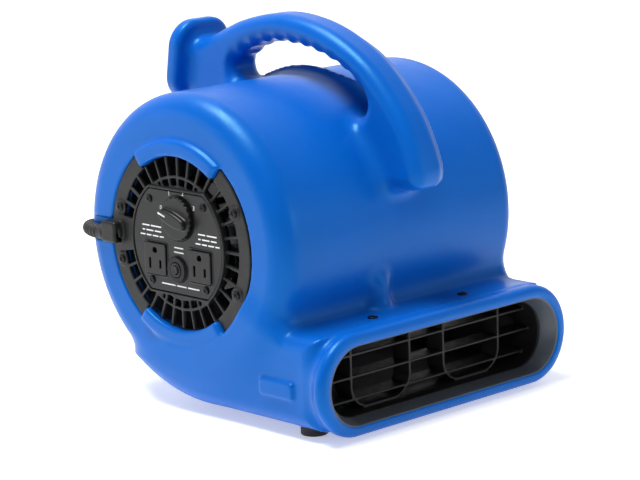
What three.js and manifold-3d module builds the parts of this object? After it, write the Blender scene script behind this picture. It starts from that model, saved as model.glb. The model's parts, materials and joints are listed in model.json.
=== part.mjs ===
// A compact centrifugal air mover with its motor, double-inlet wheel, controls and mains lead.
// Millimetres, +Z up. The outlet blows towards -Y, the control panel faces -X, and the origin is on
// the floor under the middle of the machine. The fan axis runs along X.
import * as THREE from "three";
import { mergeVertices } from "three/addons/utils/BufferGeometryUtils.js";
import Module from "manifold-3d";

const wasm = await Module();
wasm.setup();

// ---- driving dimensions ----
const AXIS_Y = 19.5; // the fan axis: half the body's depth is in front of the origin
const AXIS_Z = 142;
const DRUM_R = 122;
const HALF_W = 136.5; // the body's end faces are at x = -HALF_W and x = HALF_W
const WALL = 4;
const GAP = 0.3; // clearance between pieces that touch
const CONTROL_EDGE_R = 18; // rounding of the drum's edge on the control side
const FAR_EDGE_R = 14;
const FLOOR = -AXIS_Z; // heights below are measured from the fan axis

const OUTLET_Y = -170; // the outlet's front plane, from the fan axis
const BASE_Z = -133; // underside of the body
const DUCT_TOP_Z = -58;
const MOUTH_HALF_W = 134.75;
const MOUTH_LOW = -130;
const MOUTH_HIGH = -65;
const THROAT_Y = -156; // where the grey liner ends and the grille frame starts
const GRILLE_Y = -144; // front edge of the grille's fins

const RING_R = 84;
const RING_T = 3.7;
const INLET_R = 72; // the hole in the body behind each inlet grille
const SEAT_X = HALF_W - 4; // floor of the recess that the inlet grille sits in
const SLOT_IN_R = 56;
const SLOT_OUT_R = 71;
const RIB_COUNT = 32;
const RIB_W = 3;
const SCREW_RING_R = 75.5;
const LIP_OUT_R = 86.5;
const LIP_SPANS = [[56, 124], [-124, -55]]; // degrees from the front, upwards
const LIP_TOP = 5; // how far the lips stand out of the end face

const PLATE_R = 54;
const PLATE_HIGH = 43;
const PLATE_LOW = -41.5;
const PLATE_T = 2.2;
const PLATE_X = -HALF_W - GAP;
const KNOB = { y: -2.5, z: 21.5, r: 17.5, base: 3.4, grip: 9.2, rest: 17 }; // rest is in degrees
const SOCKETS = [["receptacle_rear", 26.5], ["receptacle_front", -28]];
const SOCKET_Z = -15.3;
const SOCKET_SIDE = 26;
const BLADE_APART = 12.7; // the standard spacing of the blades of a 15 A mains plug
const BREAKER = { y: 0.8, z: -21.4, r: 6 };

const FAN_R = 70;
const FAN_IN_R = 57;
const FAN_HALF = 70;
const BLADE_COUNT = 20;
const MOTOR_R = 46;
const MOTOR_NEAR = -76; // the motor's end towards the control panel
const MOTOR_FAR = -14;
const SHAFT_R = 6;

const SCREW_R = 1.8; // screw shanks, in holes of radius 2.1 to 2.4
const DUCT_SCREWS = [[-53, -136], [53, -136]];
const FOOT = { front: [112, -126], rear: [82, 14], r: 11 };
const SIDE_FOOT = { r: 8, ring: 99, h: 12, high: 60, low: 40 }; // the last two are in degrees
const CORD_R = 4.25;
const BOOT_R = 6.6;
const BOOT_BEND = 36;
const BOOT_STRAIGHT = 10; // the boot's run before it bends
const CORD_X = -HALF_W - 1.5;
const CORD_Z = -2;
const TAB_Y = 90; // how far the cable tab reaches behind the fan axis
const QUARTER_ARC = 0.5523; // a cubic curve's handle length for a quarter circle of radius 1

// ---- materials ----
function material(color, roughness, metalness = 0) {
  return new THREE.MeshStandardMaterial({ color, roughness, metalness });
}
const BLUE = material(0x1463d8, 0.38);
const BLACK = material(0x17181a, 0.6);
const GREY = material(0x4b4f55, 0.55);
const RUBBER = material(0x101010, 0.85);
const STEEL = material(0x8d9196, 0.35, 1);
const DARK_STEEL = material(0x1c1c1e, 0.45, 0.8);
const ALUMINIUM = material(0xb6babf, 0.4, 1);
const COPPER = material(0xa8602c, 0.4, 0.9);
const WHITE = material(0xe8e8e4, 0.4);

// ---- solids ----
const X = new THREE.Vector3(1, 0, 0);
const Y = new THREE.Vector3(0, 1, 0);
const Z = new THREE.Vector3(0, 0, 1);
const BACK = new THREE.Vector3(0, -1, 0);
const DRAWN_ALONG_X = new THREE.Matrix4().makeBasis(Y, Z, X);
const DRAWN_ALONG_Y = new THREE.Matrix4().makeBasis(X, Z, BACK);
const TURNED_ABOUT_X = new THREE.Matrix4().makeBasis(Z, X, Y);
const TURNED_ABOUT_Z = new THREE.Matrix4().makeBasis(X, Z, BACK);
const MIRROR_X = new THREE.Matrix4().makeScale(-1, 1, 1);

// A closed three.js geometry as a manifold-3d solid, turned right side out.
function solid(geometry) {
  const bare = geometry.clone();
  bare.deleteAttribute("normal");
  bare.deleteAttribute("uv");
  const merged = mergeVertices(bare, 1e-4);
  const triVerts = new Uint32Array(merged.index.array);
  const vertProperties = new Float32Array(merged.attributes.position.array);
  const made = new wasm.Manifold(new wasm.Mesh({ numProp: 3, vertProperties, triVerts }));
  if (made.volume() > 0) return made;
  for (let i = 0; i < triVerts.length; i += 3) {
    [triVerts[i + 1], triVerts[i + 2]] = [triVerts[i + 2], triVerts[i + 1]];
  }
  return new wasm.Manifold(new wasm.Mesh({ numProp: 3, vertProperties, triVerts }));
}

function geometryOf(made) {
  const out = made.getMesh();
  const geometry = new THREE.BufferGeometry();
  geometry.setAttribute("position", new THREE.BufferAttribute(out.vertProperties, 3));
  geometry.setIndex(new THREE.BufferAttribute(out.triVerts, 1));
  geometry.computeVertexNormals();
  return geometry;
}

function joined(solids) {
  return solids.reduce((all, next) => all.add(next));
}

function cut(body, tools) {
  return tools.reduce((left, tool) => left.subtract(tool), body);
}

function mirrored(made) {
  return solid(geometryOf(made).applyMatrix4(MIRROR_X));
}

// Moves a solid drawn about the fan axis, or about a point given from it.
function placed(geometry, x = 0, y = 0, z = 0) {
  return solid(geometry.translate(x, AXIS_Y + y, AXIS_Z + z));
}

// A profile of [x, radius] points turned about a line along X through (y, z).
function turned(profile, y = 0, z = 0, segments = 24) {
  const points = profile.map(([x, r]) => new THREE.Vector2(r, x));
  return placed(new THREE.LatheGeometry(points, segments).applyMatrix4(TURNED_ABOUT_X), 0, y, z);
}

// A profile of [height, radius] points turned about a vertical line through (x, y).
function turnedUp(profile, x, y, segments = 16) {
  const points = profile.map(([z, r]) => new THREE.Vector2(r, z));
  return placed(new THREE.LatheGeometry(points, segments).applyMatrix4(TURNED_ABOUT_Z), x, y, 0);
}

function rod(x0, x1, r, y = 0, z = 0, segments = 24) {
  return turned([[x0, 0], [x0, r], [x1, r], [x1, 0]], y, z, segments);
}

// A hollow cylinder between x0 and x1.
function tube(x0, x1, r, bore, y = 0, z = 0, segments = 24) {
  return turned([[x0, bore], [x0, r], [x1, r], [x1, bore], [x0, bore]], y, z, segments);
}

// A shape drawn in Y and Z from the fan axis, made solid from x0 to x1.
function across(shape, x0, x1, edge = 0, curveSegments = 8) {
  const geometry = new THREE.ExtrudeGeometry(shape, {
    depth: x1 - x0 - 2 * edge,
    bevelEnabled: edge > 0,
    bevelThickness: edge,
    bevelSize: edge,
    bevelOffset: -edge,
    bevelSegments: 2,
    curveSegments,
  });
  return placed(geometry.translate(0, 0, edge).applyMatrix4(DRAWN_ALONG_X), x0, 0, 0);
}

// A shape drawn in X and Z, made solid from y1 forward to y0.
function along(shape, y0, y1, curveSegments = 8) {
  const geometry = new THREE.ExtrudeGeometry(shape, {
    depth: y1 - y0,
    bevelEnabled: false,
    curveSegments,
  });
  return placed(geometry.applyMatrix4(DRAWN_ALONG_Y), 0, y1, 0);
}

function box(x0, x1, y0, y1, z0, z1) {
  const geometry = new THREE.BoxGeometry(x1 - x0, y1 - y0, z1 - z0);
  return placed(geometry, (x0 + x1) / 2, (y0 + y1) / 2, (z0 + z1) / 2);
}

// A rectangle with round corners, in the plane it is drawn in.
function roundedBox(left, right, low, high, r) {
  const shape = new THREE.Shape();
  shape.absarc(right - r, low + r, r, -Math.PI / 2, 0);
  shape.absarc(right - r, high - r, r, 0, Math.PI / 2);
  shape.absarc(left + r, high - r, r, Math.PI / 2, Math.PI);
  shape.absarc(left + r, low + r, r, Math.PI, Math.PI * 1.5);
  return shape;
}

function disc(y, z, r) {
  const shape = new THREE.Shape();
  shape.absarc(y, z, r, 0, 2 * Math.PI);
  return shape;
}

// A point at radius r, at an angle in degrees from the front upwards.
function polar(r, degrees) {
  const a = THREE.MathUtils.degToRad(degrees);
  return [-r * Math.cos(a), r * Math.sin(a)];
}

// Part of a flat ring between two such angles.
function sector(r0, r1, from, to) {
  const a = THREE.MathUtils.degToRad(180 - from);
  const b = THREE.MathUtils.degToRad(180 - to);
  const shape = new THREE.Shape();
  shape.absarc(0, 0, r1, a, b, true);
  shape.absarc(0, 0, r0, b, a, false);
  return shape;
}

// A closed solid through rings that all have the same number of points, with flat ends.
function lofted(rings) {
  const count = rings[0].length;
  const points = rings.flat();
  const faces = [];
  for (let k = 0; k < rings.length - 1; k++) {
    for (let i = 0; i < count; i++) {
      const a = k * count + i;
      const b = k * count + ((i + 1) % count);
      faces.push(a, b, b + count, a, b + count, a + count);
    }
  }
  const last = (rings.length - 1) * count;
  for (let i = 1; i < count - 1; i++) {
    faces.push(0, i + 1, i, last, last + i, last + i + 1);
  }
  const geometry = new THREE.BufferGeometry();
  geometry.setAttribute("position", new THREE.Float32BufferAttribute(points.flatMap((p) => p.toArray()), 3));
  geometry.setIndex(faces);
  return placed(geometry);
}

// An upright ring in the plane at y, as wide and high as the duct is there.
function ductRing(y, halfW, low, high, r, steps = 3) {
  const corner = Math.min(r, (high - low) / 2 - 0.05);
  const points = roundedBox(-halfW, halfW, low, high, corner).getPoints(steps);
  return points.map((p) => new THREE.Vector3(p.x, y, p.y));
}

function arcPoints(cx, cr, r, from, to, steps = 4) {
  return Array.from({ length: steps + 1 }, (_, i) => {
    const a = THREE.MathUtils.degToRad(from + ((to - from) * i) / steps);
    return [cx + r * Math.cos(a), cr + r * Math.sin(a)];
  });
}

const group = new THREE.Group();
function node(name, made, look) {
  const mesh = new THREE.Mesh(geometryOf(made), look);
  mesh.name = name;
  group.add(mesh);
}

// ---- body ----
function drum() {
  const near = arcPoints(-HALF_W + CONTROL_EDGE_R, DRUM_R - CONTROL_EDGE_R, CONTROL_EDGE_R, 180, 90);
  const far = arcPoints(HALF_W - FAR_EDGE_R, DRUM_R - FAR_EDGE_R, FAR_EDGE_R, 90, 0);
  return turned([[-HALF_W, 0], ...near, ...far, [HALF_W, 0]], 0, 0, 44);
}

// The box-like lower body between the drum and the outlet, seen from the side.
function baseShape(inset) {
  const low = BASE_Z + inset;
  const high = DUCT_TOP_Z - inset;
  const shape = new THREE.Shape();
  shape.moveTo(66 - inset, -102.6 + inset);
  shape.quadraticCurveTo(19, low, -24, low);
  shape.lineTo(-152, low);
  shape.lineTo(-152, high);
  shape.lineTo(-128, high);
  shape.quadraticCurveTo(-114, high, -114, high + 14);
  shape.lineTo(-60, -30);
  return shape;
}

// The outlet's flared front, a flattened ring with half-round ends.
function flare() {
  const rings = [
    [-116, HALF_W - 1, BASE_Z + 0.5, DUCT_TOP_Z - 0.5, 22],
    [-134, HALF_W + 1, BASE_Z - 0.7, DUCT_TOP_Z + 0.2, 28],
    [-148, HALF_W + 4, BASE_Z - 2.8, DUCT_TOP_Z + 1, 36],
    [-158, HALF_W + 7.5, BASE_Z - 4.8, DUCT_TOP_Z + 2.3, 40],
    [-163, HALF_W + 9, BASE_Z - 6, DUCT_TOP_Z + 3, 42],
    [-167, HALF_W + 9, BASE_Z - 6, DUCT_TOP_Z + 3, 42],
    [-169, HALF_W + 8, BASE_Z - 5, DUCT_TOP_Z + 2, 41],
    [OUTLET_Y, HALF_W + 6.4, BASE_Z - 3.4, DUCT_TOP_Z + 0.4, 42],
  ];
  return lofted(rings.map((r) => ductRing(...r)));
}

// The carrying handle from the side, with its hand hole. It grows out of the drum at both ends.
function handleShape() {
  const shape = new THREE.Shape();
  shape.moveTo(80, 60);
  shape.lineTo(100, 84);
  shape.lineTo(123, 106);
  shape.lineTo(123, 138);
  shape.quadraticCurveTo(104, 147, 86, 152.5);
  shape.splineThru([
    new THREE.Vector2(55, 165),
    new THREE.Vector2(10, 173.8),
    new THREE.Vector2(-26, 171),
    new THREE.Vector2(-60, 161),
    new THREE.Vector2(-99, 139),
    new THREE.Vector2(-134, 102),
    new THREE.Vector2(-151, 70),
    new THREE.Vector2(-155, 55),
  ]);
  shape.quadraticCurveTo(-155, 41, -142, 41);
  shape.lineTo(-100, 38);
  shape.lineTo(-60, 40);
  const hole = new THREE.Path();
  hole.moveTo(40, 100);
  hole.splineThru([
    new THREE.Vector2(57, 114),
    new THREE.Vector2(62, 127),
    new THREE.Vector2(52, 137),
    new THREE.Vector2(11, 150),
    new THREE.Vector2(-33, 146),
    new THREE.Vector2(-67, 134),
    new THREE.Vector2(-88, 120),
    new THREE.Vector2(-95, 106),
    new THREE.Vector2(-86, 90),
    new THREE.Vector2(-60, 80),
  ]);
  shape.holes.push(hole);
  return shape;
}

const HANDLE_HALF_W = 18;
const WRAP = { front: 117, rear: 131, halfW: 31, low: 92, high: 162 };

// The upright plate at the handle's rear end that keeps a wound cord in place.
function cordWrap() {
  const { front, rear, halfW, low, high } = WRAP;
  const ring = (y, grow) => ductRing(y, halfW + grow, low - grow, high + grow, 20 + grow);
  const rearEdge = [ring(rear, -4), ring(rear - 2.5, -0.8), ring(rear - 7, 0)];
  const frontEdge = [ring(front + 3, -1), ring(front, -5)];
  return lofted([...rearEdge, ...frontEdge]);
}

function handle() {
  return joined([across(handleShape(), -HANDLE_HALF_W, HANDLE_HALF_W, 8, 2), cordWrap()]);
}

// Raised blue lips that reach inwards over the rim of each inlet grille.
function lips(side) {
  const x0 = side * (HALF_W + LIP_TOP);
  const x1 = side * (SEAT_X - WALL);
  return LIP_SPANS.map(([from, to]) =>
    across(sector(INLET_R - 3, LIP_OUT_R, from, to), Math.min(x0, x1), Math.max(x0, x1)));
}

function cavity() {
  const round = 15;
  const near = arcPoints(-SEAT_X + round, DRUM_R - WALL - round, round, 180, 90, 2);
  const far = arcPoints(SEAT_X - round, DRUM_R - WALL - round, round, 90, 0, 2);
  const shoulder = SEAT_X - WALL;
  const outline = [[-shoulder, 0], [-shoulder, RING_R + 4], [-SEAT_X, RING_R + 6], ...near, ...far];
  outline.push([SEAT_X, RING_R + 6], [shoulder, RING_R + 4], [shoulder, 0]);
  const duct = across(baseShape(WALL), -SEAT_X, SEAT_X);
  const mouthShape = roundedBox(-MOUTH_HALF_W, MOUTH_HALF_W, MOUTH_LOW, MOUTH_HIGH, 32.4);
  const mouth = along(mouthShape, OUTLET_Y - 2, -150, 10);
  return [turned(outline, 0, 0, 32), duct, mouth];
}

// The path of the lead from the cable tab round behind the drum, as far as its boot reaches.
function bootPath() {
  const start = new THREE.Vector3(CORD_X, TAB_Y + GAP, CORD_Z);
  const end = start.clone().add(new THREE.Vector3(BOOT_BEND, BOOT_STRAIGHT + BOOT_BEND, -4));
  const reach = BOOT_BEND * QUARTER_ARC;
  const c1 = start.clone().add(new THREE.Vector3(0, BOOT_STRAIGHT + reach, 0));
  const c2 = end.clone().add(new THREE.Vector3(-reach, 0, 0));
  return new THREE.CubicBezierCurve3(start, c1, c2, end);
}

function swept(path, r, sides, steps) {
  const section = new THREE.Shape(disc(0, 0, r).getPoints(sides / 2).slice(0, -1));
  return placed(new THREE.ExtrudeGeometry(section, { extrudePath: path, steps, bevelEnabled: false }));
}

function footPlaces() {
  return ["front", "rear"].flatMap((end) => [["left", -1], ["right", 1]].map(([side, s]) =>
    [`${end}_${side}`, s * FOOT[end][0], FOOT[end][1]]));
}

function housing() {
  const footPads = footPlaces().map(([, x, y]) => turnedUp(
    [[BASE_Z, 0], [BASE_Z, FOOT.r + 2], [BASE_Z + 14, FOOT.r + 4], [BASE_Z + 14, 0]], x, y));
  const outside = joined([
    drum(),
    across(baseShape(0), -HALF_W + 0.2, HALF_W - 0.2, 12, 5),
    flare(),
    handle(),
    ...footPads,
    across(roundedBox(-130, -91.5, -109.5, -95.5, 3), -HALF_W - 1.8, -HALF_W + 2),
  ]);
  const recess = rod(SEAT_X, HALF_W + 10, RING_R + 0.6, 0, 0, 48);
  const inlet = rod(-HALF_W - 20, HALF_W + 20, INLET_R, 0, 0, 48);
  const hollow = cut(outside, [...cavity(), recess, mirrored(recess)]);
  const lipped = joined([hollow, ...lips(-1), ...lips(1)]);
  const screwHoles = DUCT_SCREWS.map(([x, y]) => turnedUp([[-66, 0], [-66, 2.4], [-50, 2.4], [-50, 0]], x, y, 8));
  const ringHoles = ringScrews().flatMap(([y, z]) => [rod(-SEAT_X - 1, -SEAT_X + 10, 2.2, y, z, 6),
    rod(SEAT_X - 10, SEAT_X + 1, 2.2, y, z, 6)]);
  const footSeats = footPlaces().map(([, x, y]) => turnedUp(
    [[FLOOR, 0], [FLOOR, FOOT.r + GAP], [BASE_Z, FOOT.r + GAP], [BASE_Z, 0]], x, y));
  const tabSeat = box(-HALF_W - 12, -HALF_W + 4, 70, TAB_Y + 0.6, -9, 10);
  const channel = swept(bootPath(), BOOT_R + 0.8, 12, 10);
  const openings = [inlet, ...screwHoles, ...ringHoles, ...footSeats, tabSeat, channel];
  node("housing_shell", cut(lipped, openings), BLUE);
}

// ---- inlet grilles ----
function ringScrews() {
  return [26, -26, 163, -163].map((a) => polar(SCREW_RING_R, a));
}

// The grille's outer shape: a disc that steps inwards under the lips.
function ringBlank(x0, x1) {
  const under = LIP_SPANS.map(([from, to]) =>
    across(sector(INLET_R - GAP, RING_R + 10, from - 0.4, to + 0.4), x0 - 1, x1 + 1));
  return cut(rod(x0, x1, RING_R, 0, 0, 48), under);
}

function underLip(degrees) {
  return LIP_SPANS.some(([from, to]) => degrees > from - 5 && degrees < to + 5);
}

// A row of slots between two radii, with ribs of equal width between them.
function slotRow(r0, r1, count, x0, x1, keep = () => true) {
  const slots = [];
  for (let i = 0; i < count; i++) {
    const middle = -180 + ((i + 0.5) * 360) / count;
    if (!keep(middle)) continue;
    const outer = underLip(middle) ? Math.min(r1, INLET_R - 4) : r1;
    const half = 180 / count;
    const inHalf = half - THREE.MathUtils.radToDeg(RIB_W / 2 / r0);
    const outHalf = half - THREE.MathUtils.radToDeg(RIB_W / 2 / outer);
    const corners = [[r0, -inHalf], [outer, -outHalf], [outer, outHalf], [r0, inHalf]];
    const shape = new THREE.Shape(corners.map(([r, a]) => new THREE.Vector2(...polar(r, middle + a))));
    slots.push(across(shape, x0, x1));
  }
  return slots;
}

function plateOutline(grow) {
  const r = PLATE_R + grow;
  const high = PLATE_HIGH + grow;
  const low = PLATE_LOW - grow;
  const a = Math.asin(high / r);
  const b = Math.asin(low / r);
  const shape = new THREE.Shape();
  shape.absarc(0, 0, r, b, a, false);
  shape.absarc(0, 0, r, Math.PI - a, Math.PI - b, false);
  return shape;
}

const PLATE_SCREWS = [[-33, 34], [33, 34], [-33, -34], [33, -34]];

function leftGrille() {
  const x0 = -HALF_W;
  const x1 = -HALF_W + RING_T;
  const clearOfTab = (middle) => Math.abs(middle) < 170;
  const slots = slotRow(SLOT_IN_R, SLOT_OUT_R, RIB_COUNT, x0 - 1, x1 + 1, clearOfTab);
  const inner = (middle) => Math.abs(Math.abs(middle) - 90) < 26;
  const shortSlots = slotRow(48, SLOT_IN_R - 3, RIB_COUNT, x0 - 1, x1 + 1, inner);
  const body = joined([
    cut(ringBlank(x0, x1), [...slots, ...shortSlots]),
    across(plateOutline(2.6), x0 - 3.2, x1, 0, 10),
    box(-HALF_W - 9, x1, 74, TAB_Y, -8.5, 9.5),
  ]);
  const pocket = across(plateOutline(0.5), x0 - 5, x0, 0, 10);
  const opening = across(plateOutline(-5), x0 - 1, x1 + 1, 0, 8);
  const screwHoles = [...ringScrews(), ...PLATE_SCREWS].map(([y, z]) => rod(x0 - 5, x1 + 1, 2.2, y, z, 6));
  const lugs = PLATE_SCREWS.map(([y, z]) => rod(x0, x1, 6.5, y, z, 10));
  const leadIn = new THREE.Vector3(CORD_X, TAB_Y - 18, CORD_Z);
  const leadOut = new THREE.Vector3(CORD_X, TAB_Y + 2, CORD_Z);
  const leadHole = swept(new THREE.LineCurve3(leadIn, leadOut), CORD_R + GAP, 8, 1);
  const opened = joined([cut(body, [pocket, opening]), ...lugs]);
  node("inlet_grille_left", cut(opened, [...screwHoles, leadHole]), BLACK);
}

function rightGrille() {
  const x0 = HALF_W - RING_T;
  const x1 = HALF_W;
  const blank = mirrored(ringBlank(-x1, -x0));
  const outer = slotRow(SLOT_IN_R, SLOT_OUT_R, RIB_COUNT, x0 - 1, x1 + 1);
  const inner = slotRow(25, SLOT_IN_R - 4, RIB_COUNT / 2, x0 - 1, x1 + 1);
  const holes = ringScrews().map(([y, z]) => rod(x0 - 1, x1 + 1, 2.2, y, z, 6));
  const cap = rod(x1 - 1, x1 + 2.5, 19, 0, 0, 24);
  node("inlet_grille_right", joined([cut(blank, [...outer, ...inner, ...holes]), cap]), BLACK);
}

// A domed screw along X. Its head stands out of the face at x, on the side that sign gives.
function sideScrew(x, y, z, sign, length, headR = 3.8) {
  const seat = x + sign * GAP;
  const tip = x - sign * length;
  const head = [[x + sign * 2, 0], [x + sign * 1.6, headR * 0.7], [seat, headR]];
  return turned([...head, [seat, SCREW_R], [tip, SCREW_R], [tip, 0]], y, z, 8);
}

function grilleScrews() {
  ringScrews().forEach(([y, z], i) => {
    node(`left_grille_screw_${i + 1}`, sideScrew(-HALF_W, y, z, -1, 7), DARK_STEEL);
    node(`right_grille_screw_${i + 1}`, sideScrew(HALF_W, y, z, 1, 7), DARK_STEEL);
  });
}

// ---- controls ----
const PLATE_FACE = PLATE_X - PLATE_T;

function controlPlate() {
  const { y, z, r } = BREAKER;
  const openings = SOCKETS.map(([, sy]) => {
    const half = SOCKET_SIDE / 2 - 1;
    return box(PLATE_FACE - 1, PLATE_X + 1, sy - half, sy + half, SOCKET_Z - half, SOCKET_Z + half);
  });
  openings.push(rod(PLATE_FACE - 1, PLATE_X + 1, r + GAP, y, z, 16));
  openings.push(rod(PLATE_FACE - 1, PLATE_X + 1, 5, KNOB.y, KNOB.z, 16));
  PLATE_SCREWS.forEach(([sy, sz]) => openings.push(rod(PLATE_FACE - 1, PLATE_X + 1, 2.1, sy, sz, 8)));
  node("control_plate", cut(across(plateOutline(0), PLATE_FACE, PLATE_X, 0, 10), openings), BLACK);
  PLATE_SCREWS.forEach(([sy, sz], i) =>
    node(`plate_screw_${i + 1}`, sideScrew(PLATE_FACE, sy, sz, -1, 8, 3.4), DARK_STEEL));
}

// A three-pin mains receptacle: a flanged block with two blade slots and a round-topped ground hole.
function receptacles() {
  SOCKETS.forEach(([name, y]) => {
    const half = SOCKET_SIDE / 2;
    const face = PLATE_FACE - GAP;
    const flangeShape = roundedBox(y - half, y + half, SOCKET_Z - half, SOCKET_Z + half, 2.5);
    const flange = across(flangeShape, face - 1.6, face);
    const blockHalf = half - 1.5;
    const block = box(face - 0.5, face + 28, y - blockHalf, y + blockHalf, SOCKET_Z - blockHalf, SOCKET_Z + blockHalf);
    const slots = [-1, 1].map((s) => {
      const sy = y + s * BLADE_APART / 2;
      const tall = s > 0 ? 4.2 : 3.4;
      return box(face - 3, face + 18, sy - 1.1, sy + 1.1, SOCKET_Z - 4 - tall, SOCKET_Z - 4 + tall);
    });
    const ground = rod(face - 3, face + 18, 2.6, y, SOCKET_Z + 7.5, 12);
    node(name, cut(joined([flange, block]), [...slots, ground]), BLACK);
  });
}

function breaker() {
  const { y, z, r } = BREAKER;
  const face = PLATE_FACE;
  const neck = tube(face - 2.2, PLATE_X + 3, r, 3.8, y, z, 16);
  const block = cut(box(PLATE_X + 4, PLATE_X + 27, y - 7, y + 7, z - 7, z + 6), [
    rod(PLATE_X + 3, PLATE_X + 9, 3.8, y, z, 16)]);
  const shoulder = tube(PLATE_X + 2, PLATE_X + 5, r, 3.8, y, z, 16);
  node("breaker_body", joined([neck, shoulder, block]), BLACK);
  node("breaker_nut", tube(face - 1.8, face - GAP, 10.8, r + GAP, y, z, 20), DARK_STEEL);
  const button = [[face - 3.6, 0], [face - 3.6, 2.8], [face - 3, 3.4], [PLATE_X + 4, 3.4], [PLATE_X + 4, 0]];
  node("breaker_button", turned(button, y, z, 16), BLACK);
}

function speedSwitch() {
  const { y, z, r, base, grip } = KNOB;
  const back = PLATE_FACE - GAP;
  const block = box(PLATE_X + 4, PLATE_X + 26, y - 14, y + 14, z - 13, z + 13);
  const bush = rod(PLATE_X + GAP, PLATE_X + 5, 6.5, y, z, 16);
  const shaftHole = rod(PLATE_X - 1, PLATE_X + 13, 3 + GAP, y, z, 12);
  node("rotary_switch_body", cut(joined([block, bush]), [shaftHole]), BLACK);
  node("switch_shaft", rod(back - 6, PLATE_X + 12, 3, y, z, 12), STEEL);
  const top = back - base;
  const skirt = turned([[back, 0], [back, r], [top + 1, r - 0.6], [top, r - 1.8], [top, 0]], y, z, 28);
  const bar = across(roundedBox(-r + 1, r - 1, -5.2, 5.2, 5), back - grip, top + 0.5, 0, 5);
  const rest = THREE.MathUtils.degToRad(KNOB.rest);
  const turn = new THREE.Matrix4().makeRotationX(rest);
  const barAtRest = solid(geometryOf(bar).translate(0, -AXIS_Y, -AXIS_Z).applyMatrix4(turn)
    .translate(0, AXIS_Y + y, AXIS_Z + z));
  const bore = rod(back - 6.3, back + 1, 3 + GAP, y, z, 12);
  node("speed_knob", cut(joined([skirt, barAtRest]), [bore]), BLACK);
}

// ---- motor and fan ----
function motor() {
  const lid = 5.7;
  const can = tube(MOTOR_NEAR + lid + GAP, MOTOR_FAR - lid - GAP, MOTOR_R, MOTOR_R - 2, 0, 0, 20);
  node("motor_can", can, DARK_STEEL);
  node("motor_end_bell_near", tube(MOTOR_NEAR, MOTOR_NEAR + lid, MOTOR_R, 11.3, 0, 0, 20), ALUMINIUM);
  node("motor_end_bell_far", tube(MOTOR_FAR - lid, MOTOR_FAR, MOTOR_R, 11.3, 0, 0, 20), ALUMINIUM);
  node("stator_core", tube(MOTOR_NEAR + 10, MOTOR_FAR - 10, MOTOR_R - 3, 24, 0, 0, 20), COPPER);
  node("bearing_near", tube(MOTOR_NEAR - 0.5, MOTOR_NEAR + 6, 11, SHAFT_R + GAP, 0, 0, 14), STEEL);
  node("bearing_far", tube(MOTOR_FAR - 6, MOTOR_FAR + 0.5, 11, SHAFT_R + GAP, 0, 0, 14), STEEL);
  node("rotor_core", tube(MOTOR_NEAR + 12, MOTOR_FAR - 12, 23.4, SHAFT_R + GAP, 0, 0, 24), STEEL);
  node("motor_shaft", rod(MOTOR_NEAR - 4, 16, SHAFT_R, 0, 0, 20), STEEL);
}

// A spider that hangs the motor from the back of the control-side grille.
function motorBracket() {
  const near = -HALF_W + RING_T + GAP;
  const hoop = tube(MOTOR_NEAR - GAP - 3, MOTOR_NEAR - GAP, 57, 14, 0, 0, 24);
  const foot = tube(near, near + 2.5, 55.5, 52, 0, 0, 24);
  const legs = [45, 135, 225, 315].map((a) => {
    const [y, z] = polar(54, a);
    return rod(near + 1, MOTOR_NEAR - GAP - 1, 3, y, z, 8);
  });
  const air = [0, 90, 180, 270].map((a) =>
    across(sector(20, 48, a + 12, a + 78), MOTOR_NEAR - 9, MOTOR_NEAR + 2, 0, 3));
  node("motor_bracket", joined([cut(hoop, air), foot, ...legs]), DARK_STEEL);
  node("run_capacitor", rod(-HALF_W + RING_T + 5, -88, 9, 0, -41, 14), WHITE);
}

// One forward-curved blade: a thin arc between the inner and outer radius.
function bladeShape(degrees) {
  const rim = [];
  const back = [];
  const steps = 1;
  for (let i = 0; i <= steps; i++) {
    const r = FAN_IN_R + ((FAN_R - 0.4 - FAN_IN_R) * i) / steps;
    const lean = (9 * i) / steps;
    const thick = THREE.MathUtils.radToDeg(0.7 / r);
    rim.push(new THREE.Vector2(...polar(r, degrees + lean - thick)));
    back.unshift(new THREE.Vector2(...polar(r, degrees + lean + thick)));
  }
  return new THREE.Shape([...rim, ...back]);
}

function fanWheel() {
  const blades = [];
  for (let i = 0; i < BLADE_COUNT; i++) {
    blades.push(across(bladeShape((i * 360) / BLADE_COUNT), -FAN_HALF + 1, FAN_HALF - 1));
  }
  const rings = [-FAN_HALF, FAN_HALF].map((x) => tube(x - 1.5, x + 1.5, FAN_R, FAN_IN_R + 4, 0, 0, 24));
  const web = rod(1, 3.4, FAN_IN_R + 3, 0, 0, 24);
  const hub = rod(-8, 13, 14, 0, 0, 20);
  const bore = rod(-10, 15, SHAFT_R + GAP, 0, 0, 20);
  const screwHole = turnedUp([[4, 0], [4, 2.5], [18, 2.5], [18, 0]], 8, 0, 10);
  node("fan_wheel", cut(joined([...blades, ...rings, web, hub]), [bore, screwHole]), BLACK);
  node("hub_set_screw", turnedUp([[6.4, 0], [6.4, 2.1], [13.5, 2.1], [13.5, 0]], 8, 0, 10), STEEL);
}

// ---- outlet ----
function stadium(halfW, low, high) {
  return roundedBox(-halfW, halfW, low, high, (high - low) / 2 - 0.05);
}

function outletLiner() {
  const ring = (y, halfW, low, high) => ductRing(y, halfW, low, high, high - low, 4);
  const outside = lofted([
    ring(THROAT_Y, 128.5, -124.5, -70.5),
    ring(-163, 131.2, -126.9, -68.1),
    ring(OUTLET_Y + 0.8, MOUTH_HALF_W - GAP, MOUTH_LOW + GAP, MOUTH_HIGH - GAP),
  ]);
  const inside = lofted([
    ring(THROAT_Y + 1, 125, -121, -74),
    ring(THROAT_Y, 125, -121, -74),
    ring(-163, 128.4, -124.2, -70.8),
    ring(OUTLET_Y - 1, 133.9, -129.2, -65.8),
  ]);
  node("outlet_liner", cut(outside, [inside]), GREY);
}

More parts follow.
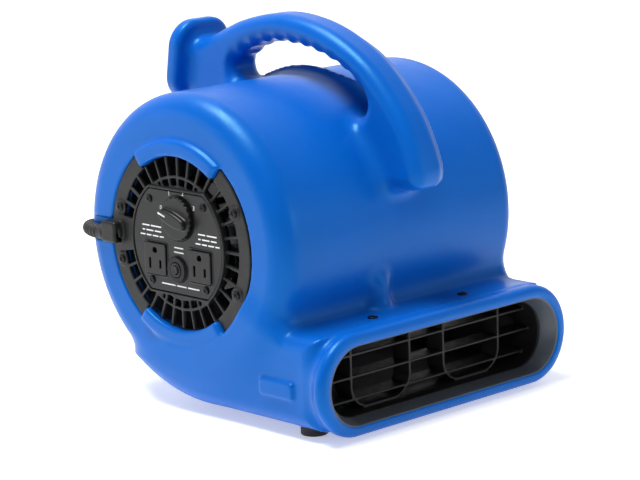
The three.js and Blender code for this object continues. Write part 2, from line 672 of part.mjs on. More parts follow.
const FIN_T = 2.8;
const FIN_HEIGHTS = [-80.5, -98.6, -117];
const LOOP_SPANS = [[-88.2, -18.9], [18.9, 88.2]];

function outletGrille() {
  const front = THROAT_Y + GAP;
  const rear = -128;
  const frameHole = along(stadium(125, -121, -74), front - 1, rear + 1);
  const frame = cut(along(stadium(128.2, -124.2, -70.8), front, rear), [frameHole]);
  const inside = along(stadium(126, -122, -73), front, rear);
  const half = FIN_T / 2;
  const fins = FIN_HEIGHTS.map((z) => box(-126, 126, GRILLE_Y, -126, z - half, z + half).intersect(inside));
  const loops = LOOP_SPANS.map(([left, right]) => {
    const outer = along(roundedBox(left, right, -119.5, -50, 26), GRILLE_Y, -127, 4);
    const inner = along(roundedBox(left + FIN_T, right - FIN_T, -116.7, -48, 23.2), GRILLE_Y - 1, -126, 4);
    return cut(outer, [inner]).intersect(inside);
  });
  const bosses = DUCT_SCREWS.map(([x, y]) => turnedUp([[-73, 0], [-73, 5], [-62.6, 5], [-62.6, 0]], x, y, 10));
  const holes = DUCT_SCREWS.map(([x, y]) => turnedUp([[-74.5, 0], [-74.5, 2.3], [-60, 2.3], [-60, 0]], x, y, 8));
  node("outlet_grille", cut(joined([frame, ...fins, ...loops, ...bosses]), holes), BLACK);
  const base = DUCT_TOP_Z + 0.5;
  const head = [[base + 2, 0], [base + 1.6, 3], [base + GAP, 4.4], [base + GAP, SCREW_R]];
  ["left", "right"].forEach((side, i) => {
    const [x, y] = DUCT_SCREWS[i];
    node(`duct_screw_${side}`, turnedUp([...head, [-69.5, SCREW_R], [-69.5, 0]], x, y, 10), DARK_STEEL);
  });
}

// ---- feet ----
function feet() {
  const top = BASE_Z - GAP;
  const standing = [[FLOOR, 0], [FLOOR, FOOT.r - 1.5], [FLOOR + 2, FOOT.r], [top, FOOT.r], [top, 0]];
  footPlaces().forEach(([place, x, y]) => node(`floor_foot_${place}`, turnedUp(standing, x, y), RUBBER));
  const { r, ring, h, high, low } = SIDE_FOOT;
  [high, -low, 180 - high, low - 180].forEach((a, i) => {
    const [y, z] = polar(ring, a);
    const x = HALF_W + GAP;
    const profile = [[x, 0], [x, r], [HALF_W + h - 1.5, r], [HALF_W + h, r - 1.5], [HALF_W + h, 0]];
    node(`side_foot_${i + 1}`, turned(profile, y, z, 14), RUBBER);
  });
}

// ---- mains lead ----
// Its free length lies behind the machine in a round coil, with the plug on top.
const COIL = { x: 100, y: 208, r: 46.75, half: 13.1, bottom: FLOOR + 1.2, top: FLOOR + 27.6 };
const OUTER_TURN = COIL.r + 2 * CORD_R;
const TAIL_SPAN = [175, 236]; // degrees round the coil, along its top
const PLUG = { x: COIL.x - 14, y: COIL.y - COIL.r + 1.5, z: COIL.top + 11.6, long: 40, halfW: 13, halfT: 11 };
const BLADES_BELOW = 2.1; // the plug's blades lie below its middle, and the ground pin above
const GROUND_ABOVE = 5.2;

function leadPath() {
  const out = bootPath().getPoint(1);
  const floor = FLOOR + CORD_R + 0.2;
  const joins = COIL.y - OUTER_TURN;
  return new THREE.CatmullRomCurve3([
    out.clone().add(new THREE.Vector3(GAP, 0, 0)),
    new THREE.Vector3(-84, 137, -7),
    new THREE.Vector3(-66, 138, -14),
    new THREE.Vector3(-49, 139, -30),
    new THREE.Vector3(-34, 141, -56),
    new THREE.Vector3(-21, 144, -84),
    new THREE.Vector3(-6, 147, -110),
    new THREE.Vector3(10, 150, -127),
    new THREE.Vector3(30, 152, floor + 1.4),
    new THREE.Vector3(48, joins, floor),
    new THREE.Vector3(COIL.x - 33, joins, floor),
  ], false, "centripetal");
}

// From the coil's top layer along the top of the coil, up to the back of the plug.
function tailPath() {
  const [from, to] = TAIL_SPAN;
  const points = [];
  const steps = 5;
  for (let i = 0; i <= steps; i++) {
    const a = THREE.MathUtils.degToRad(from + ((to - from) * i) / steps);
    const rise = Math.pow(i / steps, 1.5) * 6.6;
    const height = COIL.top + CORD_R + 0.5 + rise;
    points.push(new THREE.Vector3(COIL.x + COIL.r * Math.cos(a), COIL.y + COIL.r * Math.sin(a), height));
  }
  points.push(new THREE.Vector3(PLUG.x - 1, PLUG.y, PLUG.z), new THREE.Vector3(PLUG.x + 3, PLUG.y, PLUG.z));
  return new THREE.CatmullRomCurve3(points, false, "centripetal");
}

function coil() {
  const section = [[COIL.bottom, COIL.r - COIL.half], [COIL.bottom, COIL.r + COIL.half]];
  section.push([COIL.top, COIL.r + COIL.half], [COIL.top, COIL.r - COIL.half], section[0]);
  node("cord_coil", turnedUp(section, COIL.x, COIL.y, 36), RUBBER);
}

// A strap round the bundle at the back of the coil.
function tie() {
  const near = COIL.y + COIL.r - COIL.half;
  const far = COIL.y + COIL.r + COIL.half;
  const outer = box(COIL.x - 7, COIL.x + 7, near - 2.1, far + 1.6, FLOOR + 0.1, COIL.top + 1.2);
  const inner = box(COIL.x - 8, COIL.x + 8, near - 1.2, far + 0.7, FLOOR + 0.9, COIL.top + 0.4);
  node("cord_tie", cut(outer, [inner]), BLACK);
}

function plug() {
  const { x, y, z, long, halfW, halfT } = PLUG;
  const ring = (px, w, t) => roundedBox(-w, w, -t, t, Math.min(w, t) - 0.05).getPoints(2)
    .map((p) => new THREE.Vector3(px, y + p.x, z + p.y));
  const neck = [ring(x, 5.6, 5.6), ring(x + 10, 7, 6.4)];
  const body = lofted([...neck, ring(x + 18, halfW, halfT - 1), ring(x + long, halfW, halfT)]);
  const face = x + long;
  const low = z - BLADES_BELOW;
  const high = z + GROUND_ABOVE;
  const blades = [["plug_blade_live", y - BLADE_APART / 2], ["plug_blade_neutral", y + BLADE_APART / 2]];
  const holes = blades.map(([, by]) => box(face - 6, face + 1, by - 3.5, by + 3.5, low - 1.1, low + 1.1));
  holes.push(rod(face - 6, face + 1, 2.4 + GAP, y, high, 10));
  node("plug_body", cut(body, holes), RUBBER);
  blades.forEach(([name, by]) => {
    node(name, box(face - 5.6, face + 17, by - 3.2, by + 3.2, low - 0.75, low + 0.75), STEEL);
  });
  node("plug_ground_pin", rod(face - 5.6, face + 20, 2.4, y, high, 10), STEEL);
}

function lead() {
  node("strain_relief", swept(bootPath(), BOOT_R, 12, 12), RUBBER);
  node("cord_lead", swept(leadPath(), CORD_R, 8, 24), RUBBER);
  const beyond = box(PLUG.x - GAP, PLUG.x + 9, PLUG.y - 9, PLUG.y + 9, PLUG.z - 9, PLUG.z + 9);
  node("cord_tail", cut(swept(tailPath(), CORD_R, 8, 9), [beyond]), RUBBER);
  coil();
  tie();
  plug();
}

housing();
leftGrille();
rightGrille();
grilleScrews();
controlPlate();
receptacles();
breaker();
speedSwitch();
motor();
motorBracket();
fanWheel();
outletLiner();
outletGrille();
feet();
lead();

export default group;
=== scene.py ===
# Looks for the compact air mover: its soft moulded body, grilles, controls, lead, materials, floor and light.
# Shapes are written as distance fields in millimetres round the fan axis, and meshed at a chosen step.
import json
import math

import bpy
import numpy as np
from mathutils import Matrix, Vector


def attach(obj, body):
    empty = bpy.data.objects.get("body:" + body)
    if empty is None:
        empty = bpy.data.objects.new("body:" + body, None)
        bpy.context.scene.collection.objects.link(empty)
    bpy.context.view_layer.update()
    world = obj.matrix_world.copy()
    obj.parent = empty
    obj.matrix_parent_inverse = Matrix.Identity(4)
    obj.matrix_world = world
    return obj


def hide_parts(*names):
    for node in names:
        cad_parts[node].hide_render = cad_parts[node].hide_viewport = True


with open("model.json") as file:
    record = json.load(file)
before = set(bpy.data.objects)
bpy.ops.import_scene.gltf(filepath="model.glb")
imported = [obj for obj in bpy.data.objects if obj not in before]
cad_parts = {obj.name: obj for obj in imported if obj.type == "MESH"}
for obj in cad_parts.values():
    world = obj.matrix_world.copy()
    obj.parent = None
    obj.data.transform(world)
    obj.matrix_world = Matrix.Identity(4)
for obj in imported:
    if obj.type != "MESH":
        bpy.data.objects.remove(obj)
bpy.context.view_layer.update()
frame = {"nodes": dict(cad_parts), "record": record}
NODES = frame["nodes"]

# ---- driving dimensions, in millimetres; y and z are measured from the fan axis ----
AXIS = np.array([0.0, 19.5, 142.0])  # the fan axis in the row frame
FLOOR = -142.0
DRUM_R = 122.0
HALF_W = 136.5
WALL = 4.0
CONTROL_EDGE_R = 20.0
FAR_EDGE_R = 14.0
OUTLET_Y = -170.0
BASE_Z = -133.0
DUCT_TOP_Z = -58.0
MOUTH_HALF_W = 134.75
MOUTH_MID_Z = -97.5
MOUTH_HALF_H = 32.5
THROAT_Y = -156.0
GRILLE_Y = -144.0
RING_R = 84.0
RING_T = 3.7
INLET_R = 72.0
SEAT_X = HALF_W - WALL
SLOT_IN_R = 56.0
SLOT_OUT_R = 71.0
RIB_COUNT = 32
RIB_W = 2.5
SCREW_RING_R = 75.5
SCREW_DEGREES = (26, -26, 163, -163)
LIP_OUT_R = 85.6
LIP_SPANS = ((53, 126), (-126, -53))
LIP_TOP = 5.0
PLATE_R = 54.0
PLATE_HIGH = 43.0
PLATE_LOW = -41.5
PLATE_X = -HALF_W - 0.3
PLATE_T = 2.2
PLATE_FACE = PLATE_X - PLATE_T
PLATE_SCREWS = ((-33, 34), (33, 34), (-33, -34), (33, -34))
KNOB_Y = -2.5
KNOB_Z = 21.5
KNOB_R = 17.5
KNOB_REST = 17.0  # degrees
SOCKETS = (("receptacle_rear", 26.5), ("receptacle_front", -28.0))
SOCKET_Z = -15.3
SOCKET_HALF = 13.0
BREAKER_Y = 0.8
BREAKER_Z = -21.4
FEET = (("front", 112.0, -126.0), ("rear", 82.0, 14.0))
FOOT_R = 11.0
SIDE_FOOT_RING = 99.0
SIDE_FOOT_DEGREES = (60.0, -40.0, 120.0, -140.0)
CORD_R = 4.25
CORD_X = -HALF_W - 1.5
CORD_Z = -2.0
TAB_Y = 90.0
BOOT_STRAIGHT = 10.0
BOOT_BEND = 36.0
BOOT_LENGTH = 58.0
GRIP_HALF_W = 18.0
GRIP_EDGE_R = 11.6
GROOVE_PITCH = 15.5
GROOVE_DEPTH = 1.5
WRAP_PLATE_Y = 124.0
WRAP_PLATE_Z = 127.0
WRAP_PLATE_HALF = (31.0, 35.0)
WRAP_PLATE_LEAN = 0.16
RIDGE = (-26.0, -117.5, -47.0)
RIDGE_R = 6.5
RIDGE_HALF_H = 9.0
BOSS_Y = -110.75
BOSS_Z = -102.5
BOSS_HALF = (19.25, 7.0)
BOSS_PROUD = 3.0
THROAT = (125.0, 28.3)
FIN_T = 2.2
FIN_HEIGHTS = (-80.5, -98.6, -117)
LOOP_SPANS = ((-88.2, -18.9), (18.9, 88.2))
LOOP_LOW = -126.0
LOOP_TOP = -50.0
DUCT_SCREW_X = 53.0
DUCT_SCREW_Y = -136.0
SOCKET_FACE = PLATE_FACE - 0.3
SOCKET_DEEP = 27.0
PIN_APART = 6.35
GROUND_HOLE_R = 2.7
KNOB_BACK = PLATE_FACE - 0.3
POINTER_OFFSET = KNOB_R - 6.5
BUTTON_HOLE_R = 3.9
STUD_R = 8.0
STUD_H = 12.0

# ---- camera and light, in metres and degrees ----
AZIMUTH = -43.97
ELEVATION = 11.83
ROLL = -1.715
LENS = 144.22  # mm, on a sensor 36 mm wide
CAMERA_AT = (-1.4692, -1.5262, 0.5683)
LIGHTS = (
    ("key", (-0.45, 0.25, 1.9), (1.1, 0.7), 50),
    ("side", (-1.7, 1.5, 0.5), (1.6, 1.0), 7),
    ("front", (0.9, -2.1, 0.7), (1.2, 0.6), 6))
WORLD_STRENGTH = 0.30
FLOOR_GLOW = 0.42


# ---- camera ----
def place_camera():
    """The photograph's viewing angle, from the front on the control side."""
    azimuth, elevation, roll = (math.radians(a) for a in (AZIMUTH, ELEVATION, ROLL))
    level = math.cos(elevation)
    back = Vector((math.sin(azimuth) * level, -math.cos(azimuth) * level, math.sin(elevation)))
    right = (-back).cross(Vector((0, 0, 1))).normalized()
    up = right.cross(-back)
    tilted_right = math.cos(roll) * right + math.sin(roll) * up
    tilted_up = -math.sin(roll) * right + math.cos(roll) * up
    camera = bpy.data.objects.new("camera", bpy.data.cameras.new("camera"))
    bpy.context.collection.objects.link(camera)
    camera.data.sensor_width = 36
    camera.data.lens = LENS
    camera.data.clip_end = 20
    turn = Matrix((tilted_right, tilted_up, back)).transposed().to_4x4()
    camera.matrix_world = Matrix.Translation(CAMERA_AT) @ turn
    bpy.context.scene.camera = camera


# ---- distances: negative inside, in millimetres ----
def joined(a, b, soft):
    """The union of two shapes, with a fillet where they meet."""
    h = np.maximum(soft - np.abs(a - b), 0) / soft
    return np.minimum(a, b) - h * h * soft / 4


def carved(a, b, soft=1.0):
    """a with b taken out of it, and the edge rounded."""
    return -joined(-a, b, soft)


def slab(flat, across, r):
    """An outline's distance and a thickness's distance as one plate with edges rounded to r."""
    a = flat + r
    b = across + r
    return np.minimum(np.maximum(a, b), 0) + np.hypot(np.maximum(a, 0), np.maximum(b, 0)) - r


def between(value, low, high):
    return np.abs(value - (low + high) / 2) - (high - low) / 2


def rectangle(u, v, half_u, half_v, r):
    return slab(np.abs(u) - half_u, np.abs(v) - half_v, r)


def outline(y, z, points):
    """Distance to a closed outline drawn through points."""
    shape = np.broadcast(y, z).shape
    nearest = np.full(shape, 1e12)
    inside = np.zeros(shape, bool)
    for (ay, az), (by, bz) in zip(points, np.roll(points, -1, axis=0)):
        ey, ez = by - ay, bz - az
        length = ey * ey + ez * ez
        if length < 1e-9:
            continue
        t = np.clip(((y - ay) * ey + (z - az) * ez) / length, 0, 1)
        nearest = np.minimum(nearest, (y - ay - t * ey) ** 2 + (z - az - t * ez) ** 2)
        if az != bz:
            inside ^= ((az <= z) != (bz <= z)) & (y < ay + (z - az) / (bz - az) * ey)
    return np.where(inside, -1.0, 1.0) * np.sqrt(nearest)


def sector(y, z, r0, r1, start, stop):
    """Part of a flat ring. Degrees run from the front, upwards."""
    middle = math.radians((start + stop) / 2)
    half = math.radians((stop - start) / 2)
    r = np.hypot(y, z)
    angle = np.arctan2(z, -y) - middle
    angle = np.abs((angle + np.pi) % (2 * np.pi) - np.pi)
    ends = r * np.sin(np.clip(angle - half, -1.2, 1.2))
    return np.maximum(between(r, r0, r1), ends)


def polar(r, degrees):
    a = math.radians(degrees)
    return -r * math.cos(a), r * math.sin(a)


def curve_through(points, each=8):
    """A smooth open line through the points."""
    p = np.array(points, float)
    p = np.vstack([2 * p[0] - p[1], p, 2 * p[-1] - p[-2]])
    out = []
    for a, b, c, d in zip(p[:-3], p[1:-2], p[2:-1], p[3:]):
        knots = np.cumsum([0.0] + [max(np.linalg.norm(e), 1e-6) ** 0.5 for e in (b - a, c - b, d - c)])
        for t in np.linspace(knots[1], knots[2], each, endpoint=False):
            p1 = ((knots[1] - t) * a + (t - knots[0]) * b) / (knots[1] - knots[0])
            p2 = ((knots[2] - t) * b + (t - knots[1]) * c) / (knots[2] - knots[1])
            p3 = ((knots[3] - t) * c + (t - knots[2]) * d) / (knots[3] - knots[2])
            q1 = ((knots[2] - t) * p1 + (t - knots[0]) * p2) / (knots[2] - knots[0])
            q2 = ((knots[3] - t) * p2 + (t - knots[1]) * p3) / (knots[3] - knots[1])
            out.append(((knots[2] - t) * q1 + (t - knots[1]) * q2) / (knots[2] - knots[1]))
    out.append(p[-2])
    return np.array(out)


# ---- meshing ----
CORNERS = [(i, j, k) for i in (0, 1) for j in (0, 1) for k in (0, 1)]
EDGES = [(a, b) for a in range(8) for b in range(a + 1, 8)
         if sum(abs(p - q) for p, q in zip(CORNERS[a], CORNERS[b])) == 1]


def net(values, origin, step):
    """Corners and four-sided faces of the surface where the sampled values change sign."""
    inside = values < 0
    size = [n - 1 for n in values.shape]

    def at(array, corner):
        return array[tuple(slice(c, c + n) for c, n in zip(corner, size))]

    count = sum(at(inside, c).astype(np.int8) for c in CORNERS)
    cells = np.argwhere((count > 0) & (count < 8))
    number = np.full(size, -1, np.int64)
    number[tuple(cells.T)] = np.arange(len(cells))
    at_corner = np.stack([values[tuple((cells + c).T)] for c in CORNERS], axis=1)
    total = np.zeros((len(cells), 3))
    hits = np.zeros(len(cells))
    for a, b in EDGES:
        va, vb = at_corner[:, a], at_corner[:, b]
        hit = (va < 0) != (vb < 0)
        t = np.where(hit, va / np.where(hit, va - vb, 1), 0)[:, None]
        pa, pb = np.array(CORNERS[a]), np.array(CORNERS[b])
        total += np.where(hit[:, None], pa + t * (pb - pa), 0)
        hits += hit
    points = origin + (cells + total / hits[:, None]) * step
    faces = []
    for axis in range(3):
        u, v = (axis + 1) % 3, (axis + 2) % 3
        low = [slice(1, -1)] * 3
        high = [slice(1, -1)] * 3
        low[axis] = slice(0, -1)
        high[axis] = slice(1, None)
        starts = inside[tuple(low)]
        ends = inside[tuple(high)]
        offset = np.ones(3, int)
        offset[axis] = 0
        for found, flip in ((starts & ~ends, False), (~starts & ends, True)):
            e = np.argwhere(found) + offset
            corner = []
            for du, dv in ((-1, -1), (0, -1), (0, 0), (-1, 0)):
                c = e.copy()
                c[:, u] += du
                c[:, v] += dv
                corner.append(number[tuple(c.T)])
            quad = np.stack(corner, axis=1)
            faces.append(quad[:, ::-1] if flip else quad)
    return points, np.vstack(faces)


def slope(field, p, gap):
    """The field and its gradient at each point."""
    here = field(*p.T)
    along = [(field(*(p + np.eye(3)[i] * gap).T) - here) / gap for i in range(3)]
    return here, np.stack(along, axis=1)


def sampled(field, low, high, step):
    """The field's values on a grid that covers the given box, and the grid's first corner."""
    axes = [np.arange(a - 1.5 * step, b + 2.5 * step, step) for a, b in zip(low, high)]
    x, y, z = np.meshgrid(*axes, indexing="ij", sparse=True)
    values = np.broadcast_to(field(x, y, z), [len(a) for a in axes])
    return values, np.array([a[0] for a in axes])


def box_round(low_x, high_x, y, z, reach):
    """Two corners of a box between two x that reaches the same way all round a centre line."""
    return (low_x, y - reach, z - reach), (high_x, y + reach, z + reach)


def meshed(name, field, low, high, step, body, look):
    """A piece whose surface is where the field is zero, inside the given box."""
    values, corner = sampled(field, low, high, step)
    points, faces = net(values.astype(np.float32), corner, step)
    for _ in range(2):
        here, along = slope(field, points, step * 0.1)
        size = np.maximum((along ** 2).sum(1), 0.2)
        move = -(here / size)[:, None] * along
        points = points + np.clip(move, -step * 0.5, step * 0.5)
    return piece(name, points, faces, body, look)


def piece(name, points, faces, body, look):
    """A mesh from corners in millimetres round the fan axis, riding on a body."""
    mesh = bpy.data.meshes.new(name)
    faces = np.asarray(faces)
    points = (np.asarray(points) + AXIS) / 1000
    mesh.vertices.add(len(points))
    mesh.vertices.foreach_set("co", points.astype(np.float32).ravel())
    mesh.loops.add(faces.size)
    mesh.loops.foreach_set("vertex_index", faces.astype(np.int32).ravel())
    mesh.polygons.add(len(faces))
    starts = np.arange(len(faces)) * faces.shape[1]
    mesh.polygons.foreach_set("loop_start", starts.astype(np.int32))
    mesh.update(calc_edges=True)
    mesh.validate()
    mesh.polygons.foreach_set("use_smooth", np.full(len(mesh.polygons), True))
    obj = bpy.data.objects.new(name, mesh)
    bpy.context.collection.objects.link(obj)
    mesh.materials.append(look)
    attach(obj, body)
    return obj


# ---- materials ----
def grained(name, color, roughness, grain, depth, mottle=0.12, patch=14.0, metallic=0.0,
            stretch=None, specular=0.5, tint=(1, 1, 1)):
    """A moulded or machined surface: patchy colour, uneven gloss and a fine bump.

    grain and patch are repeats per metre, and depth is the bump's height in metres."""
    mat = bpy.data.materials.new(name)
    mat.use_nodes = True
    nodes, links = mat.node_tree.nodes, mat.node_tree.links
    shader = nodes["Principled BSDF"]
    shader.inputs["Metallic"].default_value = metallic
    shader.inputs["Specular IOR Level"].default_value = specular
    shader.inputs["Specular Tint"].default_value = (*tint, 1)
    where = nodes.new("ShaderNodeTexCoord").outputs["Object"]
    if stretch:
        mapping = nodes.new("ShaderNodeMapping")
        mapping.inputs["Scale"].default_value = stretch
        links.new(where, mapping.inputs["Vector"])
        where = mapping.outputs["Vector"]

    def noise(scale, detail):
        node = nodes.new("ShaderNodeTexNoise")
        node.inputs["Scale"].default_value = scale
        node.inputs["Detail"].default_value = detail
        node.inputs["Roughness"].default_value = 0.55
        links.new(where, node.inputs["Vector"])
        return node.outputs["Fac"]

    ramp = nodes.new("ShaderNodeValToRGB")
    ramp.color_ramp.elements[0].position = 0.3
    ramp.color_ramp.elements[1].position = 0.7
    ramp.color_ramp.elements[0].color = (*(c * (1 - mottle) for c in color), 1)
    ramp.color_ramp.elements[1].color = (*(min(c * (1 + mottle), 1) for c in color), 1)
    links.new(noise(patch, 3), ramp.inputs["Fac"])
    links.new(ramp.outputs["Color"], shader.inputs["Base Color"])

    gloss = nodes.new("ShaderNodeMapRange")
    gloss.inputs["From Min"].default_value = 0.3
    gloss.inputs["From Max"].default_value = 0.7
    gloss.inputs["To Min"].default_value = roughness * 0.84
    gloss.inputs["To Max"].default_value = min(roughness * 1.18, 1)
    links.new(noise(patch * 5, 5), gloss.inputs["Value"])
    links.new(gloss.outputs["Result"], shader.inputs["Roughness"])

    bump = nodes.new("ShaderNodeBump")
    bump.inputs["Strength"].default_value = 1.0
    bump.inputs["Distance"].default_value = depth
    links.new(noise(grain, 3), bump.inputs["Height"])
    links.new(bump.outputs["Normal"], shader.inputs["Normal"])
    return mat


BLUE = grained("moulded_blue", (0.001, 0.094, 0.45), 0.34, 420, 0.00010, mottle=0.06, patch=9,
               specular=0.35, tint=(0.22, 0.82, 0.96))
# Painted shade: a dark grey for the inner walls of the air space, which are blue like the body but get little
# light.
SHADE_PAINTED_INSIDE = grained("painted_shade_dark", (0.055, 0.050, 0.062), 0.6, 420, 0.00010, patch=9, specular=0.2)
GUARD = grained("guard_black", (0.0095, 0.0095, 0.0100), 0.45, 1500, 0.00012, mottle=0.15, patch=30,
                specular=0.35)
BLACK = grained("textured_black", (0.008, 0.0084, 0.0092), 0.42, 1500, 0.00012, mottle=0.15, patch=30,
                specular=0.3)
SATIN_BLACK = grained("satin_black", (0.0075, 0.0078, 0.0085), 0.34, 1100, 0.00004, mottle=0.15, patch=40,
                      specular=0.28)
GREY = grained("liner_grey", (0.056, 0.069, 0.088), 0.40, 1300, 0.00008, mottle=0.10, patch=25)
RUBBER = grained("rubber", (0.010, 0.010, 0.011), 0.62, 1700, 0.00015, mottle=0.2, patch=40)
JACKET = grained("cord_jacket", (0.012, 0.012, 0.013), 0.48, 900, 0.00005, mottle=0.15, patch=30)
DARK_STEEL = grained("black_oxide", (0.020, 0.020, 0.022), 0.32, 1800, 0.00004, metallic=0.9, patch=60)
STEEL = grained("machined_steel", (0.50, 0.51, 0.53), 0.30, 700, 0.00003, metallic=1, stretch=(0.15, 1, 1))
ALUMINIUM = grained("cast_aluminium", (0.58, 0.59, 0.61), 0.42, 900, 0.00012, metallic=1)
WINDING = grained("windings", (0.42, 0.16, 0.05), 0.38, 1500, 0.0002, metallic=0.6, stretch=(0.2, 1, 1))
CAN_WHITE = grained("can_white", (0.70, 0.70, 0.67), 0.34, 500, 0.00003, mottle=0.05)
PRINT = grained("white_print", (0.72, 0.73, 0.74), 0.55, 2500, 0.00002, mottle=0.12, patch=300)

SLOT_LOOKS = {"blue_shell": BLUE, "black_plastic": BLACK, "liner_grey": GREY, "rubber": RUBBER,
              "cord_jacket": JACKET, "steel": STEEL, "black_screw": DARK_STEEL, "aluminium": ALUMINIUM,
              "winding": WINDING, "can_white": CAN_WHITE}


def dress_nodes():
    """Every CAD node that stays gets the material of its own slot."""
    for part in frame["record"]["subparts"]:
        obj = NODES[part["node"]]
        look = SLOT_LOOKS[part["material_slot"]]
        if not obj.material_slots:
            obj.data.materials.append(look)
        for place in obj.material_slots:
            place.material = look


# ---- body ----
def handle_outline():
    outer = curve_through([(86, 152.5), (55, 165), (10, 173.8), (-26, 171), (-60, 161), (-99, 139),
                           (-134, 102), (-150.5, 70), (-154.5, 54), (-151, 43), (-142, 40)])
    inner = [(-100, 38), (-60, 40), (60, 60), (80, 66), (100, 84), (123, 106), (123, 138)]
    return np.vstack([outer, inner])


def hole_outline():
    upper = curve_through([(47, 104), (59, 116), (61.5, 127), (52, 137), (33, 145.5), (11, 150),
                           (-11, 149.3), (-33, 146), (-67, 134), (-88, 119), (-95, 106), (-87, 93),
                           (-70, 86)])
    return np.vstack([upper, [(0, 70), (35, 96)]])


def base_outline():
    """The base from the side: a curve drawn from the drum towards a corner under it, then the duct."""
    start, corner, stop = (np.array(p) for p in ((66, -102.6), (19, BASE_Z), (-24, BASE_Z)))
    curve = [(1 - t) ** 2 * start + 2 * t * (1 - t) * corner + t ** 2 * stop for t in np.linspace(0, 1, 10)]
    return np.vstack([curve, [(-152, BASE_Z), (-152, DUCT_TOP_Z), (-118, DUCT_TOP_Z), (-60, -30)]])


HANDLE = handle_outline()
HOLE = hole_outline()
BASE = base_outline()


def handle(x, y, z):
    """The loop handle, oval in section, with finger grooves, a ledge on the far side and the wrap plate."""
    hole = outline(y, z, HOLE)
    upper = np.clip((z - 118 + 0.25 * np.maximum(-y - 40, 0)) / 10, 0, 1)
    hole = hole - GROOVE_DEPTH * upper * np.abs(np.cos(np.pi * y / GROOVE_PITCH))
    flat = np.maximum(outline(y, z, HANDLE), -hole)
    grip = slab(flat, np.abs(x) - GRIP_HALF_W, GRIP_EDGE_R)
    ledge = slab(outline(y, z, HANDLE) + 3.2, between(x, 13.8, 17.0), 0.9)
    ledge = ledge + 3 * np.clip((y + 80) / 50, 0, 1)
    lean = (y - WRAP_PLATE_Y) + WRAP_PLATE_LEAN * (z - WRAP_PLATE_Z - 1)
    plate = slab(rectangle(x, z - WRAP_PLATE_Z, *WRAP_PLATE_HALF, 22), np.abs(lean) - 7.5, 5.5)
    return joined(joined(grip, ledge, 2.5), plate, 16)


def flare(x, y, z):
    """The outlet's front: the duct widens into a flattened ring with a thick rounded rim."""
    t = np.clip((-122 - y) / 40, 0, 1)
    s = t ** 1.7
    half_h = 31.5 + 10.5 * s
    section = rectangle(x, z - (-95.5 - 1.5 * s), HALF_W - 9 + 18 * s, half_h, 18 + 23.5 * t)
    return slab(section, between(y, OUTLET_Y, -108), 5.5)


def hollow(x, y, z):
    """The air space inside, open through both inlets and the outlet."""
    drum = slab(np.hypot(y, z) - DRUM_R + WALL, np.abs(x) - SEAT_X + WALL, 12)
    duct = slab(outline(y, z, BASE) + WALL, np.abs(x) - SEAT_X, 6)
    mouth = rectangle(x, z - MOUTH_MID_Z, MOUTH_HALF_W, MOUTH_HALF_H, MOUTH_HALF_H - 0.1)
    mouth = np.maximum(mouth, y + 138)
    return np.minimum(np.minimum(drum, duct), mouth)


def ridge(x, y, z):
    """The small upright rib where the drum meets the duct, a rod with round ends."""
    mid_x, mid_y, mid_z = RIDGE
    past_end = np.maximum(np.abs(z - mid_z) - RIDGE_HALF_H, 0)
    return np.hypot(np.hypot(x - mid_x, y - mid_y), past_end) - RIDGE_R


def housing(x, y, z):
    """The whole moulded body: drum, base, outlet, handle, feet pads, lips and openings."""
    radius = np.hypot(y, z)
    edge = np.where(x < 0, CONTROL_EDGE_R, FAR_EDGE_R)
    drum = slab(radius - DRUM_R, np.abs(x) - HALF_W, edge)
    base = slab(outline(y, z, BASE), np.abs(x) - HALF_W, 13)
    body = joined(drum, joined(base, flare(x, y, z), 10), 20)
    body = joined(body, handle(x, y, z), 15)
    body = joined(body, ridge(x, y, z), 14)
    flat = rectangle(y - BOSS_Y, z - BOSS_Z, *BOSS_HALF, 3.2)
    boss = slab(flat, between(x, -HALF_W - BOSS_PROUD, -HALF_W + 4), 1.6)
    body = joined(body, boss, 1.6)
    for _, foot_x, foot_y in FEET:
        r = np.hypot(np.abs(x) - foot_x, y - foot_y)
        pad = slab(r - FOOT_R - 2.5, between(z, BASE_Z, BASE_Z + 14), 1.5)
        seat = np.maximum(r - FOOT_R - 0.3, z - BASE_Z)
        body = carved(joined(body, pad, 4), seat, 0.8)
    body = carved(body, hollow(x, y, z), 2.0)
    recess = np.maximum(radius - RING_R - 0.8, SEAT_X - np.abs(x))
    body = carved(body, recess, 2.4)
    for start, stop in LIP_SPANS:
        flat = sector(y, z, INLET_R - 3, LIP_OUT_R, start, stop)
        lip = slab(flat, between(np.abs(x), SEAT_X - WALL, HALF_W + LIP_TOP), 4.2)
        body = joined(body, lip, 2.5)
    body = carved(body, np.maximum(radius - INLET_R, 118 - np.abs(x)), 3.0)
    channel = slab(between(z, -9.4, 10.2), between(y, 66, 150), 1.0)
    channel = np.maximum(channel, x + HALF_W - 4)
    return carved(body, channel, 2.0)


def shade_inside(mesh):
    """The walls of the air space are really the body's blue; they get a dark grey as painted shade, for the
    little light that reaches them.
    """
    mesh.materials.append(SHADE_PAINTED_INSIDE)
    centre = np.empty(3 * len(mesh.polygons))
    mesh.polygons.foreach_get("center", centre)
    x, y, z = (centre.reshape(-1, 3) * 1000 - AXIS).T
    inside = (hollow(x, y, z) < 1.6) & (y > THROAT_Y - 2)
    mesh.polygons.foreach_set("material_index", inside.astype(np.int32))


def make_housing():
    body = meshed("moulded_body", housing, (-147.5, -171, -140), (147.5, 141, 175.5), 1.7,
                  "machine", BLUE)
    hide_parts("housing_shell")
    shade_inside(body.data)


# ---- inlet grilles ----
def slots(y, z, r0, r1, count):
    """Slots between two radii, with ribs of equal width between them."""
    r = np.hypot(y, z)
    pitch = 2 * np.pi / count
    angle = np.arctan2(z, -y)
    to_rib = (angle + pitch / 2) % pitch - pitch / 2
    return slab(between(r, r0, r1), RIB_W / 2 - np.abs(r * np.sin(to_rib)), 0.8)


